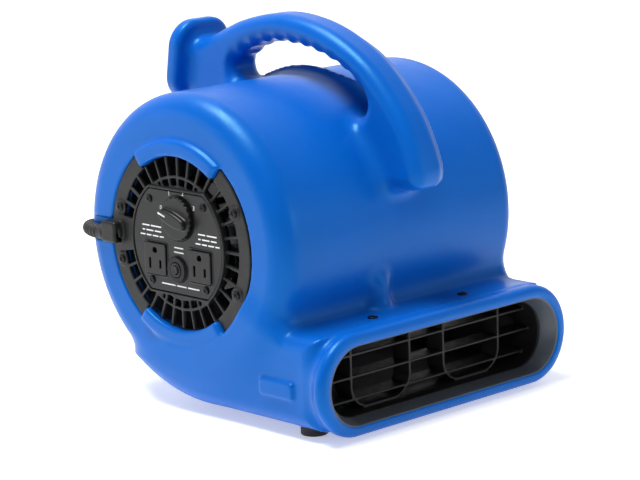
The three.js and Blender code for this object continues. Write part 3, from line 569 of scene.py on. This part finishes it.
def ring(x, y, z, side):
    """The grille's ring, stepped inwards under the body's lips."""
    radius = np.hypot(y, z)
    shape = radius - RING_R
    for start, stop in LIP_SPANS:
        under = sector(y, z, INLET_R - 0.4, RING_R + 12, start - 0.5, stop + 0.5)
        shape = np.maximum(shape, -under)
    low, high = sorted((side * (HALF_W - RING_T), side * HALF_W))
    return slab(shape, between(x, low, high), 0.9)


def drilled(body, y, z, places, r):
    """The body with holes of radius r right through it along x."""
    for py, pz in places:
        body = np.maximum(body, r - np.hypot(y - py, z - pz))
    return body


def plate_outline(y, z, grow):
    round_part = np.hypot(y, z) - PLATE_R - grow
    return np.maximum(round_part, between(z, PLATE_LOW - grow, PLATE_HIGH + grow))


def left_grille(x, y, z):
    body = ring(x, y, z, -1)
    angle = np.degrees(np.arctan2(z, -y))
    row = np.maximum(slots(y, z, SLOT_IN_R, SLOT_OUT_R, RIB_COUNT), np.abs(angle) - 168)
    short = np.maximum(slots(y, z, 47.5, SLOT_IN_R - 2.6, RIB_COUNT), np.abs(np.abs(angle) - 90) - 27)
    body = carved(body, np.minimum(row, short), 0.7)
    frame_part = slab(plate_outline(y, z, 2.6), between(x, -HALF_W - 3.2, -HALF_W + RING_T), 0.9)
    flat = rectangle(y - (TAB_Y + INLET_R) / 2, z - 0.5, (TAB_Y - INLET_R) / 2, 9, 2.5)
    tab = slab(flat, between(x, -HALF_W - 9, -HALF_W + 3), 2.5)
    rib = slab(rectangle(y - 80, z - 0.5, 9, 4, 2), between(x, -HALF_W - 4, -HALF_W), 1.2)
    body = joined(joined(joined(body, frame_part, 1.0), tab, 2.5), rib, 2.0)
    body = carved(body, np.maximum(plate_outline(y, z, 0.5), x + HALF_W), 0.5)
    body = np.maximum(body, -plate_outline(y, z, -6))
    places = [polar(SCREW_RING_R, a) for a in SCREW_DEGREES]
    for py, pz in places:
        seat = slab(np.hypot(y - py, z - pz) - 6.2, between(x, -HALF_W - 1.2, -HALF_W + 1), 0.6)
        body = joined(body, seat, 1.2)
    lead = np.maximum(np.hypot(x - CORD_X, z - CORD_Z) - CORD_R - 0.4, (TAB_Y - 18) - y)
    return np.maximum(drilled(body, y, z, places, 2.3), -lead)


def right_grille(x, y, z):
    body = carved(ring(x, y, z, 1), slots(y, z, SLOT_IN_R, SLOT_OUT_R, RIB_COUNT), 0.7)
    body = carved(body, slots(y, z, 25, SLOT_IN_R - 4, RIB_COUNT // 2), 0.7)
    cap = slab(np.hypot(y, z) - 19, between(x, HALF_W - 1, HALF_W + 2.5), 1.6)
    return drilled(joined(body, cap, 1.5), y, z, [polar(SCREW_RING_R, a) for a in SCREW_DEGREES], 2.3)


def make_grilles():
    left = meshed("control_side_grille", left_grille, (-146, -85, -85), (-132, 101, 85), 0.85,
                  "machine", BLACK)
    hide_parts("inlet_grille_left")
    right = meshed("far_side_grille", right_grille, (132, -85, -85), (139.5, 85, 85), 0.95,
                   "machine", BLACK)
    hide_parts("inlet_grille_right")


# ---- controls ----
def control_plate(x, y, z):
    body = slab(plate_outline(y, z, 0), between(x, PLATE_FACE, PLATE_X), 0.6)
    for _, sy in SOCKETS:
        opening = rectangle(y - sy, z - SOCKET_Z, SOCKET_HALF - 1, SOCKET_HALF - 1, 1)
        body = np.maximum(body, -opening)
        rim = rectangle(y - sy, z - SOCKET_Z, SOCKET_HALF + 1.2, SOCKET_HALF + 1.2, 2.5)
        rim = slab(np.abs(rim) - 0.5, between(x, PLATE_FACE - 0.7, PLATE_FACE + 1), 0.4)
        body = joined(body, rim, 0.5)
    body = np.maximum(body, 6.3 - np.hypot(y - BREAKER_Y, z - BREAKER_Z))
    body = np.maximum(body, 5 - np.hypot(y - KNOB_Y, z - KNOB_Z))
    dish = np.maximum(np.hypot(y - KNOB_Y, z - KNOB_Z) - KNOB_R - 1.2, x - PLATE_FACE - 0.4)
    return drilled(carved(body, dish, 0.3), y, z, PLATE_SCREWS, 2.2)


def receptacle(sy):
    """A mains receptacle whose middle is at sy: a square face, and a block behind it with three slots."""
    def field(x, y, z):
        half = SOCKET_HALF - 1.5
        face = rectangle(y - sy, z - SOCKET_Z, SOCKET_HALF, SOCKET_HALF, 2.5)
        flange = slab(face, between(x, SOCKET_FACE - 1.6, SOCKET_FACE), 0.5)
        block = rectangle(y - sy, z - SOCKET_Z, half, half, 1)
        block = slab(block, between(x, SOCKET_FACE - 0.5, SOCKET_FACE + SOCKET_DEEP), 0.5)
        body = np.minimum(flange, block)
        depth = x - SOCKET_FACE - 14
        for side, half_h in ((-1, 3.5), (1, 4.4)):
            blade = rectangle(y - sy - side * PIN_APART, z - (SOCKET_Z - 4), 1.25, half_h, 0.4)
            body = carved(body, np.maximum(blade, depth), 0.3)
        ground = np.hypot(y - sy, z - (SOCKET_Z + 7.2)) - GROUND_HOLE_R
        ground = np.maximum(ground, (SOCKET_Z + 5.0) - z)
        return carved(body, np.maximum(ground, depth), 0.3)
    return field


def make_plate():
    low = (PLATE_FACE - 1, -55, -42.5)
    high = (PLATE_X + 0.5, 55, 44)
    plate = meshed("control_panel", control_plate, low, high, 0.55, "machine", SATIN_BLACK)
    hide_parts("control_plate")
    for name, sy in SOCKETS:
        low, high = box_round(PLATE_FACE - 2, PLATE_FACE + SOCKET_DEEP, sy, SOCKET_Z, SOCKET_HALF)
        outlet = meshed(name + "_moulding", receptacle(sy), low, high, 0.4,
                        "machine", SATIN_BLACK)
        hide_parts(name)


def turned_yz(y, z, degrees):
    a = math.radians(degrees)
    dy, dz = y - KNOB_Y, z - KNOB_Z
    return dy * math.cos(a) + dz * math.sin(a), -dy * math.sin(a) + dz * math.cos(a)


def knob(x, y, z):
    """A round skirt with a fluted edge and a raised finger bar."""
    along, across = turned_yz(y, z, KNOB_REST)
    r = np.hypot(along, across)
    flutes = 0.35 * np.cos(24 * np.arctan2(across, along)) * np.clip((r - 14) / 3, 0, 1)
    skirt = slab(r - KNOB_R + flutes, between(x, KNOB_BACK - 3.6, KNOB_BACK), 0.9)
    bar = rectangle(along, across, KNOB_R - 1.6, 4.6 + 0.9 * np.cos(along / 7), 4.4)
    bar = slab(bar, between(x, KNOB_BACK - 9.2, KNOB_BACK - 2), 1.8)
    tip = rectangle(along - POINTER_OFFSET, across, 4.6, 0.9, 0.6)
    tip = slab(tip, between(x, KNOB_BACK - 12, KNOB_BACK - 8.7), 0.2)
    bore = np.maximum(r - 3.3, KNOB_BACK - 6.3 - x)
    return carved(np.maximum(joined(skirt, bar, 2.4), -bore), tip, 0.3)


def pointer(x, y, z):
    """The white bar let into the finger bar's end."""
    along, across = turned_yz(y, z, KNOB_REST)
    flat = rectangle(along - POINTER_OFFSET, across, 4.5, 0.8, 0.5)
    return slab(flat, between(x, KNOB_BACK - 9.0, KNOB_BACK - 8.2), 0.15)


def breaker_nut(x, y, z):
    """A knurled ring nut on a thin washer."""
    r = np.hypot(y - BREAKER_Y, z - BREAKER_Z)
    knurl = 0.25 * np.cos(40 * np.arctan2(z - BREAKER_Z, y - BREAKER_Y))
    section = np.abs(r - 8.6) - 2.1 + np.where(r > 8.6, knurl, 0)
    body = slab(section, between(x, PLATE_FACE - 2.2, PLATE_FACE - 0.3), 0.5)
    washer = slab(between(r, 6.4, 11.6), between(x, PLATE_FACE - 0.9, PLATE_FACE - 0.3), 0.25)
    return np.minimum(body, washer)


def breaker_body(x, y, z):
    """The breaker's block behind the panel, and its threaded neck with the button's hole."""
    r = np.hypot(y - BREAKER_Y, z - BREAKER_Z)
    neck = slab(between(r, BUTTON_HOLE_R, 6.0), between(x, PLATE_FACE - 2.7, PLATE_X + 6), 0.5)
    block = rectangle(y - BREAKER_Y, z - BREAKER_Z, 7, 6.5, 1)
    block = slab(block, between(x, PLATE_X + 4, PLATE_X + 27), 0.8)
    return np.maximum(np.minimum(neck, block), -np.maximum(r - BUTTON_HOLE_R, x - PLATE_X - 9))


def breaker_button(x, y, z):
    """A round button with a dished face."""
    r = np.hypot(y - BREAKER_Y, z - BREAKER_Z)
    body = slab(r - 3.4, between(x, PLATE_FACE - 4.2, PLATE_X + 4), 0.9)
    return carved(body, np.sqrt(r ** 2 + (x - PLATE_FACE + 13.2) ** 2) - 9.6, 0.2)


def make_controls():
    reach = KNOB_R + 0.5
    low, high = box_round(PLATE_FACE - 10, PLATE_FACE, KNOB_Y, KNOB_Z, reach)
    dial = meshed("dial", knob, low, high, 0.4, "speed_control", SATIN_BLACK)
    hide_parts("speed_knob")
    low, high = box_round(PLATE_FACE - 10, PLATE_FACE - 7, KNOB_Y, KNOB_Z, reach)
    meshed("dial_pointer", pointer, low, high, 0.16, "speed_control", PRINT)
    low, high = box_round(PLATE_FACE - 3.5, PLATE_FACE, BREAKER_Y, BREAKER_Z, 12)
    nut = meshed("breaker_ring_nut", breaker_nut, low, high, 0.25, "machine", DARK_STEEL)
    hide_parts("breaker_nut")
    low, high = box_round(PLATE_FACE - 5.2, PLATE_X + 27.5, BREAKER_Y, BREAKER_Z, 7.5)
    body = meshed("breaker_housing", breaker_body, low, high, 0.4, "machine", BLACK)
    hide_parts("breaker_body")
    low, high = box_round(PLATE_FACE - 8.2, PLATE_X + 4.2, BREAKER_Y, BREAKER_Z, 4)
    button = meshed("breaker_push_button", breaker_button, low, high, 0.2,
                    "breaker_reset", RUBBER)
    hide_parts("breaker_button")


# ---- printed marks ----
# Each line of print: middle y, z, and the lengths of its words in mm.
PRINT_LINES = (
    (31, 11.4, (9, 13)), (31, 7.4, (3, 9, 8)), (31, 3.4, (6, 6, 7, 5)),
    (-37, 11.4, (9, 12)), (-37, 7.4, (3, 9, 7)), (-37, 3.4, (6, 6, 7, 5)),
    (-1.5, -3.2, (11,)), (-1.5, -7.0, (12,)),
    (-2, -35.0, (17, 12, 14)))


WORD_GAP = 1.6
DIAL_MARKS = (("0", 17), ("1", 62), ("2", 107), ("3", 152))


def printed_bars(x, y, z):
    """Plain white bars, one for each word, that stand for lines of print."""
    flat = 1e6
    for middle, row_z, words in PRINT_LINES:
        left = middle + (sum(words) + WORD_GAP * (len(words) - 1)) / 2
        for word in words:
            flat = np.minimum(flat, rectangle(y - (left - word / 2), z - row_z, word / 2, 0.62, 0.3))
            left -= word + WORD_GAP
    return slab(flat, between(x, PLATE_FACE - 0.12, PLATE_FACE + 0.1), 0.05)


def make_print():
    """The lines of print, and the dial's numbers round the knob."""
    meshed("printed_lines", printed_bars, (PLATE_FACE - 0.4, -53, -38), (PLATE_FACE + 0.2, 48, 13), 0.2,
           "machine", PRINT)
    for text, degrees in DIAL_MARKS:
        a = math.radians(degrees)
        curve = bpy.data.curves.new("dial_mark_" + text, "FONT")
        curve.body = text
        curve.size = 0.0052
        curve.extrude = 0.00008
        curve.align_x = "CENTER"
        curve.align_y = "CENTER"
        mark = bpy.data.objects.new("dial_mark_" + text, curve)
        bpy.context.collection.objects.link(mark)
        reach = KNOB_R + 4.4
        place = AXIS + (PLATE_FACE - 0.12, KNOB_Y + reach * math.cos(a), KNOB_Z + reach * math.sin(a))
        turn = Matrix(((0, 0, -1), (-1, 0, 0), (0, 1, 0))).to_4x4()
        mark.matrix_world = Matrix.Translation(place / 1000) @ turn
        curve.materials.append(PRINT)
        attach(mark, "machine")


# ---- outlet ----
def stadium(x, z, half_w, half_h):
    return rectangle(x, z - MOUTH_MID_Z, half_w, half_h, half_h - 0.1)


def liner(x, y, z):
    """A shallow dish, which narrows from the rim to the grille, mostly at its two ends."""
    t = np.clip((THROAT_Y - y) / (THROAT_Y - OUTLET_Y), 0, 1)
    inner = stadium(x, z, THROAT[0] + 9.3 * t ** 1.25, THROAT[1] + 3.9 * t)
    return slab(np.abs(inner - 1.4) - 1.3, between(y, OUTLET_Y + 1, THROAT_Y), 0.5)


def outlet_grille(x, y, z):
    """A frame with three fins and two hanging loops in front of the duct."""
    inner = stadium(x, z, *THROAT)
    body = slab(np.abs(inner - 1.6) - 1.5, between(y, THROAT_Y + 0.3, -128), 0.5)
    for height in FIN_HEIGHTS:
        depth = np.maximum(between(y, GRILLE_Y, -126), inner - 1.2)
        fin = slab(between(z, height - FIN_T / 2, height + FIN_T / 2), depth, 0.8)
        body = joined(body, fin, 1.2)
    for left, right in LOOP_SPANS:
        depth = np.maximum(between(y, GRILLE_Y - 0.4, -126), inner - 1.2)
        edge = rectangle(x - (left + right) / 2, z - (LOOP_LOW + LOOP_TOP) / 2,
                         (right - left) / 2, (LOOP_TOP - LOOP_LOW) / 2, 20)
        loop = slab(np.abs(edge + FIN_T / 2) - FIN_T / 2, depth, 0.8)
        body = joined(body, loop, 1.2)
    for s in (-1, 1):
        r = np.hypot(x - s * DUCT_SCREW_X, y - DUCT_SCREW_Y)
        boss = slab(r - 5, between(z, -71, -62.8), 0.5)
        body = np.maximum(np.minimum(body, boss), -np.maximum(r - 2.3, -74.5 - z))
    return body


def make_outlet():
    dish = meshed("outlet_dish", liner, (-138, OUTLET_Y, -133), (138, THROAT_Y + 1, -62), 0.95,
                  "machine", GREY)
    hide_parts("outlet_liner")
    grille = meshed("outlet_guard", outlet_grille, (-130, -157, -130), (130, -125, -62), 0.9,
                    "machine", GUARD)
    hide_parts("outlet_grille")


# ---- screws ----
def screw_shape(head_r, length):
    """Points and faces of a pan-head screw with a cross recess, its head standing along +x from 0."""
    def field(x, y, z):
        r = np.hypot(y, z)
        dome = np.maximum(np.sqrt(r ** 2 + (x + head_r * 1.9) ** 2) - head_r * 2.45, r - head_r)
        head = slab(np.maximum(dome, -5), np.maximum(0.3 - x, dome), 0.25)
        arm = head_r * 0.52
        cross = np.minimum(rectangle(y, z, arm, 0.42, 0.2), rectangle(y, z, 0.42, arm, 0.2))
        head = carved(head, np.maximum(cross, 0.9 - x), 0.25)
        return np.minimum(head, slab(r - 1.8, between(x, -length, 0.8), 0.3))
    step = 0.3
    values, corner = sampled(field, *box_round(-length, head_r * 0.7, 0, 0, head_r), step)
    return net(values, corner, step)


def place_screw(name, node, shape, turn, place, spin):
    """A screw turned about its own axis, then turned to face out of its side and set in place."""
    points, faces = shape
    a = math.radians(spin)
    spun = points @ np.array([[1, 0, 0], [0, math.cos(a), math.sin(a)], [0, -math.sin(a), math.cos(a)]])
    points = spun @ np.array(turn, float).T + place
    screw = piece(name, points, faces, "machine", DARK_STEEL)
    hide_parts(node)


# The way a screw's own x, y and z point once it is turned to face left, right or up.
TO_LEFT = ((-1, 0, 0), (0, -1, 0), (0, 0, 1))
TO_RIGHT = ((1, 0, 0), (0, 1, 0), (0, 0, 1))
TO_TOP = ((0, 0, -1), (0, 1, 0), (1, 0, 0))


def make_screws():
    """Every screw, each turned by its own amount so that no two crosses line up."""
    grille_screw = screw_shape(3.8, 6.8)
    for i, a in enumerate(SCREW_DEGREES):
        y, z = polar(SCREW_RING_R, a)
        place_screw(f"grille_screw_left_{i + 1}", f"left_grille_screw_{i + 1}", grille_screw,
                    TO_LEFT, (-HALF_W - 1, y, z), 20 + 37 * i)
        place_screw(f"grille_screw_right_{i + 1}", f"right_grille_screw_{i + 1}", grille_screw,
                    TO_RIGHT, (HALF_W, y, z), 5 + 41 * i)
    plate_screw = screw_shape(3.4, 7.8)
    for i, (y, z) in enumerate(PLATE_SCREWS):
        place_screw(f"panel_screw_{i + 1}", f"plate_screw_{i + 1}", plate_screw,
                    TO_LEFT, (PLATE_FACE, y, z), 12 + 29 * i)
    duct_screw = screw_shape(4.4, 10)
    for i, (side, x) in enumerate((("left", -DUCT_SCREW_X), ("right", DUCT_SCREW_X))):
        place_screw(f"duct_top_screw_{side}", f"duct_screw_{side}", duct_screw,
                    TO_TOP, (x, DUCT_SCREW_Y, DUCT_TOP_Z + 0.5), 30 + 25 * i)


# ---- feet ----
def floor_foot(fx, fy):
    """A round rubber foot under the base, with a screw hole from below."""
    def field(x, y, z):
        r = np.hypot(x - fx, y - fy)
        body = slab(r - FOOT_R, between(z, FLOOR, BASE_Z - 0.3), 1.2)
        return carved(body, np.maximum(r - 4, z - FLOOR - 2.4), 0.8)
    return field


def side_stud(cy, cz):
    """A tapered rubber stud on the far side, which the machine can lie on."""
    def field(x, y, z):
        r = np.hypot(y - cy, z - cz)
        body = slab(r - STUD_R + 0.05 * (x - HALF_W), between(x, HALF_W + 0.3, HALF_W + STUD_H), 1.4)
        return carved(body, np.maximum(r - 2.6, HALF_W + 9 - x), 0.7)
    return field


def make_feet():
    for end, foot_x, foot_y in FEET:
        for side, fx in (("left", -foot_x), ("right", foot_x)):
            low = (fx - FOOT_R, foot_y - FOOT_R, FLOOR)
            high = (fx + FOOT_R, foot_y + FOOT_R, BASE_Z)
            foot = meshed(f"foot_{end}_{side}", floor_foot(fx, foot_y), low, high, 0.6,
                          "machine", RUBBER)
            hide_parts(f"floor_foot_{end}_{side}")
    for i, degrees in enumerate(SIDE_FOOT_DEGREES):
        cy, cz = polar(SIDE_FOOT_RING, degrees)
        low, high = box_round(HALF_W, HALF_W + STUD_H, cy, cz, STUD_R + 0.5)
        stud = meshed(f"side_stud_{i + 1}", side_stud(cy, cz), low, high, 0.6, "machine", RUBBER)
        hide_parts(f"side_foot_{i + 1}")


# ---- mains lead: a boot, a run down behind the body, and a round coil with the plug on it ----
COIL_X = 100.0
COIL_Y = 208.0
COIL_R = 46.75
PITCH = 8.6
COIL_TOP = FLOOR + 27.6
OUTER_TURN = COIL_R + 2 * CORD_R
PLUG_X = COIL_X - 14
PLUG_Y = COIL_Y - COIL_R + 1.5
PLUG_Z = COIL_TOP + 11.6
LAYERS = FLOOR + 4.6 + 9.0 * np.arange(4)
TURNS = 7.74
TURN_STEP = 1 / 32
# Where along the turns the lead crosses to the next turn, and outwards (1) or inwards (-1).
CROSSINGS = ((0.37, -1), (1.37, -1), (3.04, 1), (4.04, 1), (5.70, -1), (6.70, -1))
CLIMBS = ((2.21, 2.45), (4.88, 5.12), (7.33, 7.59))
BLADE_DROP = 2.1
PIN_RISE = 5.2
PLUG_LENGTH = 40.0


def boot_path(steps):
    """Straight out of the tab, then a quarter turn behind the body."""
    straight = np.linspace(0, BOOT_STRAIGHT, max(2, steps // 7), endpoint=False)
    a = np.linspace(0, np.pi / 2, steps + 1)
    out = np.concatenate([straight, BOOT_STRAIGHT + BOOT_BEND * np.sin(a)])
    inwards = np.concatenate([0 * straight, BOOT_BEND * (1 - np.cos(a))])
    return np.stack([CORD_X + inwards, TAB_Y + 0.3 + out, CORD_Z - inwards / 9], axis=1)


def ease(u, start, stop):
    t = np.clip((u - start) / (stop - start), 0, 1)
    return (1 - np.cos(np.pi * t)) / 2


def coil_path():
    """The coil, three turns wide. u counts turns from where the lead meets the outer one."""
    u = np.arange(0, TURNS, TURN_STEP)
    steps = sum(way * ease(u, start, start + 0.26) for start, way in CROSSINGS) + ease(u, 7.50, TURNS)
    r = OUTER_TURN + PITCH * steps
    level = sum(ease(u, start, stop) for start, stop in CLIMBS)
    a = 2 * np.pi * u - np.pi / 2
    height = np.interp(level, range(4), LAYERS)
    return np.stack([COIL_X + r * np.cos(a), COIL_Y + r * np.sin(a), height], axis=1)


def tail_path():
    """The last part of the lead, which rises off the coil's top and straightens into the plug."""
    a = np.radians(np.linspace(183, 236, 6))
    rise = np.linspace(0.13, 1, 6) ** 1.5 * 6.6
    height = COIL_TOP + CORD_R + 0.4 + rise
    arc = np.stack([COIL_X + COIL_R * np.cos(a), COIL_Y + COIL_R * np.sin(a), height], axis=1)
    return np.vstack([arc, (PLUG_X - 1, PLUG_Y, PLUG_Z), (PLUG_X + 5, PLUG_Y, PLUG_Z)])


def lead_route():
    """The whole lead's middle line, from the cable tab to the plug."""
    floor = FLOOR + CORD_R + 0.2
    joins = COIL_Y - OUTER_TURN
    down = [(-84, 137, -7), (-66, 138, -14), (-49, 139, -30), (-34, 141, -56), (-21, 144, -84),
            (-6, 147, -110), (10, 150, -127), (30, 152, floor + 1.4), (48, joins, floor),
            (COIL_X - 33, joins, floor), (COIL_X - 14, joins, floor)]
    return curve_through(np.vstack([boot_path(10), down, coil_path(), tail_path()]), each=2)


def tube(path, radii, sides=20):
    """Points and faces of a tube along a path, with its own radius at each point and no end faces."""
    path = np.asarray(path, float)
    heading = np.gradient(path, axis=0)
    heading /= np.linalg.norm(heading, axis=1)[:, None]
    side = np.cross(heading[0], (0, 0, 1.0))
    rings = []
    for p, h, r in zip(path, heading, radii):
        side = side - h * side.dot(h)
        side /= np.linalg.norm(side)
        other = np.cross(h, side)
        a = np.linspace(0, 2 * np.pi, sides, endpoint=False)[:, None]
        rings.append(p + r * (np.cos(a) * side + np.sin(a) * other))
    points = np.vstack(rings)
    i = np.arange(sides)
    j = (i + 1) % sides
    quad = np.stack([i, j, sides + j, sides + i], axis=1)
    return points, np.vstack([quad + k * sides for k in range(len(path) - 1)])


def make_boot():
    """A tapered, ribbed sleeve with a flange at the cable tab. Both of its ends close to a point."""
    path = boot_path(150)
    run = np.concatenate([[0], np.cumsum(np.linalg.norm(np.diff(path, axis=0), axis=1))])
    path = path[run < BOOT_LENGTH]
    along = run[run < BOOT_LENGTH] / BOOT_LENGTH
    radii = 6.7 - 1.1 * along
    groove = (np.sin(2 * np.pi * along * 14) > 0.25) & (along > 0.1) & (along < 0.93)
    radii = radii - np.where(groove, 1.05, 0)
    radii[along < 0.07] = 6.9
    radii[0] = radii[-1] = 0
    points, faces = tube(path, radii, 28)
    boot = piece("lead_boot", points, faces, "machine", RUBBER)
    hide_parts("strain_relief")
    return boot


def plug(x, y, z):
    """A moulded plug: a round neck with ribs, swelling into a flat-sided grip."""
    dx, dy, dz = x - PLUG_X, y - PLUG_Y, z - PLUG_Z
    t = np.clip((dx - 6) / 13, 0, 1)
    t = t * t * (3 - 2 * t)
    half_w = 5.9 + 7.1 * t
    half_t = 5.8 + 5.0 * t
    section = rectangle(dy, dz, half_w, half_t, np.minimum(half_t, half_w) - 0.1)
    ribs = 0.5 * np.abs(np.sin(np.pi * dx / 3.2)) * ((dx > 1) & (dx < 12))
    grip = 0.5 * np.abs(np.sin(np.pi * dx / 3.4)) * ((dx > 20) & (dx < 34)) * (np.abs(dy) > 9)
    body = slab(section + ribs + grip, between(dx, 0, PLUG_LENGTH), 1.2)
    depth = PLUG_LENGTH - 6 - dx
    for s in (-1, 1):
        slot = rectangle(dy - s * PIN_APART, dz + BLADE_DROP, 3.5, 1.1, 0.2)
        body = np.maximum(body, -np.maximum(slot, depth))
    return np.maximum(body, -np.maximum(np.hypot(dy, dz - PIN_RISE) - 2.7, depth))


def blade(name, node, dy):
    """A flat blade with a hole near its rounded tip."""
    def field(x, y, z):
        dx = x - PLUG_X - PLUG_LENGTH
        flat = rectangle(dx - 5.7, y - PLUG_Y - dy, 11.3, 3.2, 1.0)
        flat = np.maximum(flat, 1.6 - np.hypot(dx - 13, y - PLUG_Y - dy))
        return slab(flat, np.abs(z - PLUG_Z + BLADE_DROP) - 0.75, 0.3)
    low = (PLUG_X + 34, PLUG_Y + dy - 3.5, PLUG_Z - 3)
    high = (PLUG_X + 57.5, PLUG_Y + dy + 3.5, PLUG_Z - 1.2)
    made = meshed(name, field, low, high, 0.3, "machine", STEEL)
    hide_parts(node)
    return made


def ground_pin(x, y, z):
    """A round pin with a hollow end."""
    dx = x - PLUG_X - PLUG_LENGTH
    r = np.hypot(y - PLUG_Y, z - PLUG_Z - PIN_RISE)
    return np.maximum(slab(r - 2.4, between(dx, -5.6, 20), 1.5), -np.maximum(r - 0.9, 12 - dx))


def tie(x, y, z):
    """A hook-and-loop strap round the bundle, with its tongue overlapping on top."""
    bundle = rectangle(y - COIL_Y - COIL_R, z - (FLOOR + 14.2), 14.0, 13.4, 7)
    strap = slab(np.abs(bundle) - 0.65, between(x, COIL_X - 7, COIL_X + 7), 0.4)
    tongue = rectangle(x - COIL_X, y - COIL_Y - COIL_R - 1, 6, 8, 2)
    tongue = slab(tongue, between(z, COIL_TOP + 0.4, COIL_TOP + 1.6), 0.4)
    return np.minimum(strap, tongue)


def make_lead():
    route = lead_route()
    curve = bpy.data.curves.new("mains_lead", "CURVE")
    curve.dimensions = "3D"
    curve.bevel_depth = CORD_R / 1000
    curve.bevel_resolution = 5
    curve.use_fill_caps = True
    spline = curve.splines.new("POLY")
    spline.points.add(len(route) - 1)
    for point, place in zip(spline.points, (route + AXIS) / 1000):
        point.co = (*place, 1)
    spline.use_smooth = True
    curve.materials.append(JACKET)
    lead = bpy.data.objects.new("mains_lead", curve)
    bpy.context.collection.objects.link(lead)
    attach(lead, "machine")
    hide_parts("cord_lead", "cord_coil", "cord_tail")
    boot = make_boot()
    low = (PLUG_X, PLUG_Y - 14, PLUG_Z - 12)
    high = (PLUG_X + PLUG_LENGTH + 1, PLUG_Y + 14, PLUG_Z + 12)
    body = meshed("plug_moulding", plug, low, high, 0.5, "machine", JACKET)
    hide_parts("plug_body")
    low = (PLUG_X + 34, PLUG_Y - 3, PLUG_Z + 2.5)
    high = (PLUG_X + 60.5, PLUG_Y + 3, PLUG_Z + 8)
    pin = meshed("plug_round_pin", ground_pin, low, high, 0.35, "machine", STEEL)
    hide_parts("plug_ground_pin")
    flats = [blade("plug_flat_pin_1", "plug_blade_live", -PIN_APART),
             blade("plug_flat_pin_2", "plug_blade_neutral", PIN_APART)]
    low = (COIL_X - 7.5, COIL_Y + COIL_R - 15, FLOOR)
    high = (COIL_X + 7.5, COIL_Y + COIL_R + 15, COIL_TOP + 2)
    strap = meshed("coil_strap", tie, low, high, 0.5, "machine", SATIN_BLACK)
    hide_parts("cord_tie")


# ---- floor and light ----
def plain(name, color, roughness, glow):
    mat = bpy.data.materials.new(name)
    mat.use_nodes = True
    shader = mat.node_tree.nodes["Principled BSDF"]
    shader.inputs["Base Color"].default_value = (*color, 1)
    shader.inputs["Roughness"].default_value = roughness
    shader.inputs["Emission Color"].default_value = (1, 1, 1, 1)
    shader.inputs["Emission Strength"].default_value = glow
    return mat


def make_floor():
    """A pale floor that curves up into a backdrop behind the machine."""
    profile = [(-6.0, 0.0), (2.5, 0.0)]
    profile += [(2.5 + 1.5 * math.sin(a), 1.5 - 1.5 * math.cos(a)) for a in np.linspace(0.1, math.pi / 2, 12)]
    profile.append((4.0, 7.0))
    c, s = math.cos(math.radians(AZIMUTH)), math.sin(math.radians(AZIMUTH))
    points = []
    for along, height in profile:
        for side in (-9.0, 9.0):
            points.append((side * c - along * s, side * s + along * c, height))
    faces = [(2 * i, 2 * i + 1, 2 * i + 3, 2 * i + 2) for i in range(len(profile) - 1)]
    mesh = bpy.data.meshes.new("floor")
    mesh.from_pydata(points, [], faces)
    mesh.polygons.foreach_set("use_smooth", [True] * len(faces))
    floor = bpy.data.objects.new("floor", mesh)
    bpy.context.collection.objects.link(floor)
    mesh.materials.append(plain("floor_white", (0.93, 0.93, 0.93), 0.6, glow=FLOOR_GLOW))


def softbox(name, place, size, power):
    """A flat rectangular lamp that faces the machine's middle."""
    light = bpy.data.lights.new(name, "AREA")
    light.shape = "RECTANGLE"
    light.size, light.size_y = size
    light.energy = power
    lamp = bpy.data.objects.new(name, light)
    bpy.context.collection.objects.link(lamp)
    aim = Vector((0, 0, 0.14)) - Vector(place)
    lamp.rotation_euler = aim.to_track_quat("-Z", "Y").to_euler()
    lamp.location = place


def light_studio():
    world = bpy.data.worlds.new("studio")
    world.use_nodes = True
    world.node_tree.nodes["Background"].inputs["Color"].default_value = (1, 1, 1, 1)
    world.node_tree.nodes["Background"].inputs["Strength"].default_value = WORLD_STRENGTH
    bpy.context.scene.world = world
    for light in LIGHTS:
        softbox(*light)
    bpy.context.scene.view_settings.view_transform = "Standard"


# ---- assembly ----
place_camera()
dress_nodes()
make_lead()
make_housing()
make_grilles()
make_plate()
make_controls()
make_print()
make_outlet()
make_screws()
make_feet()
make_floor()
light_studio()
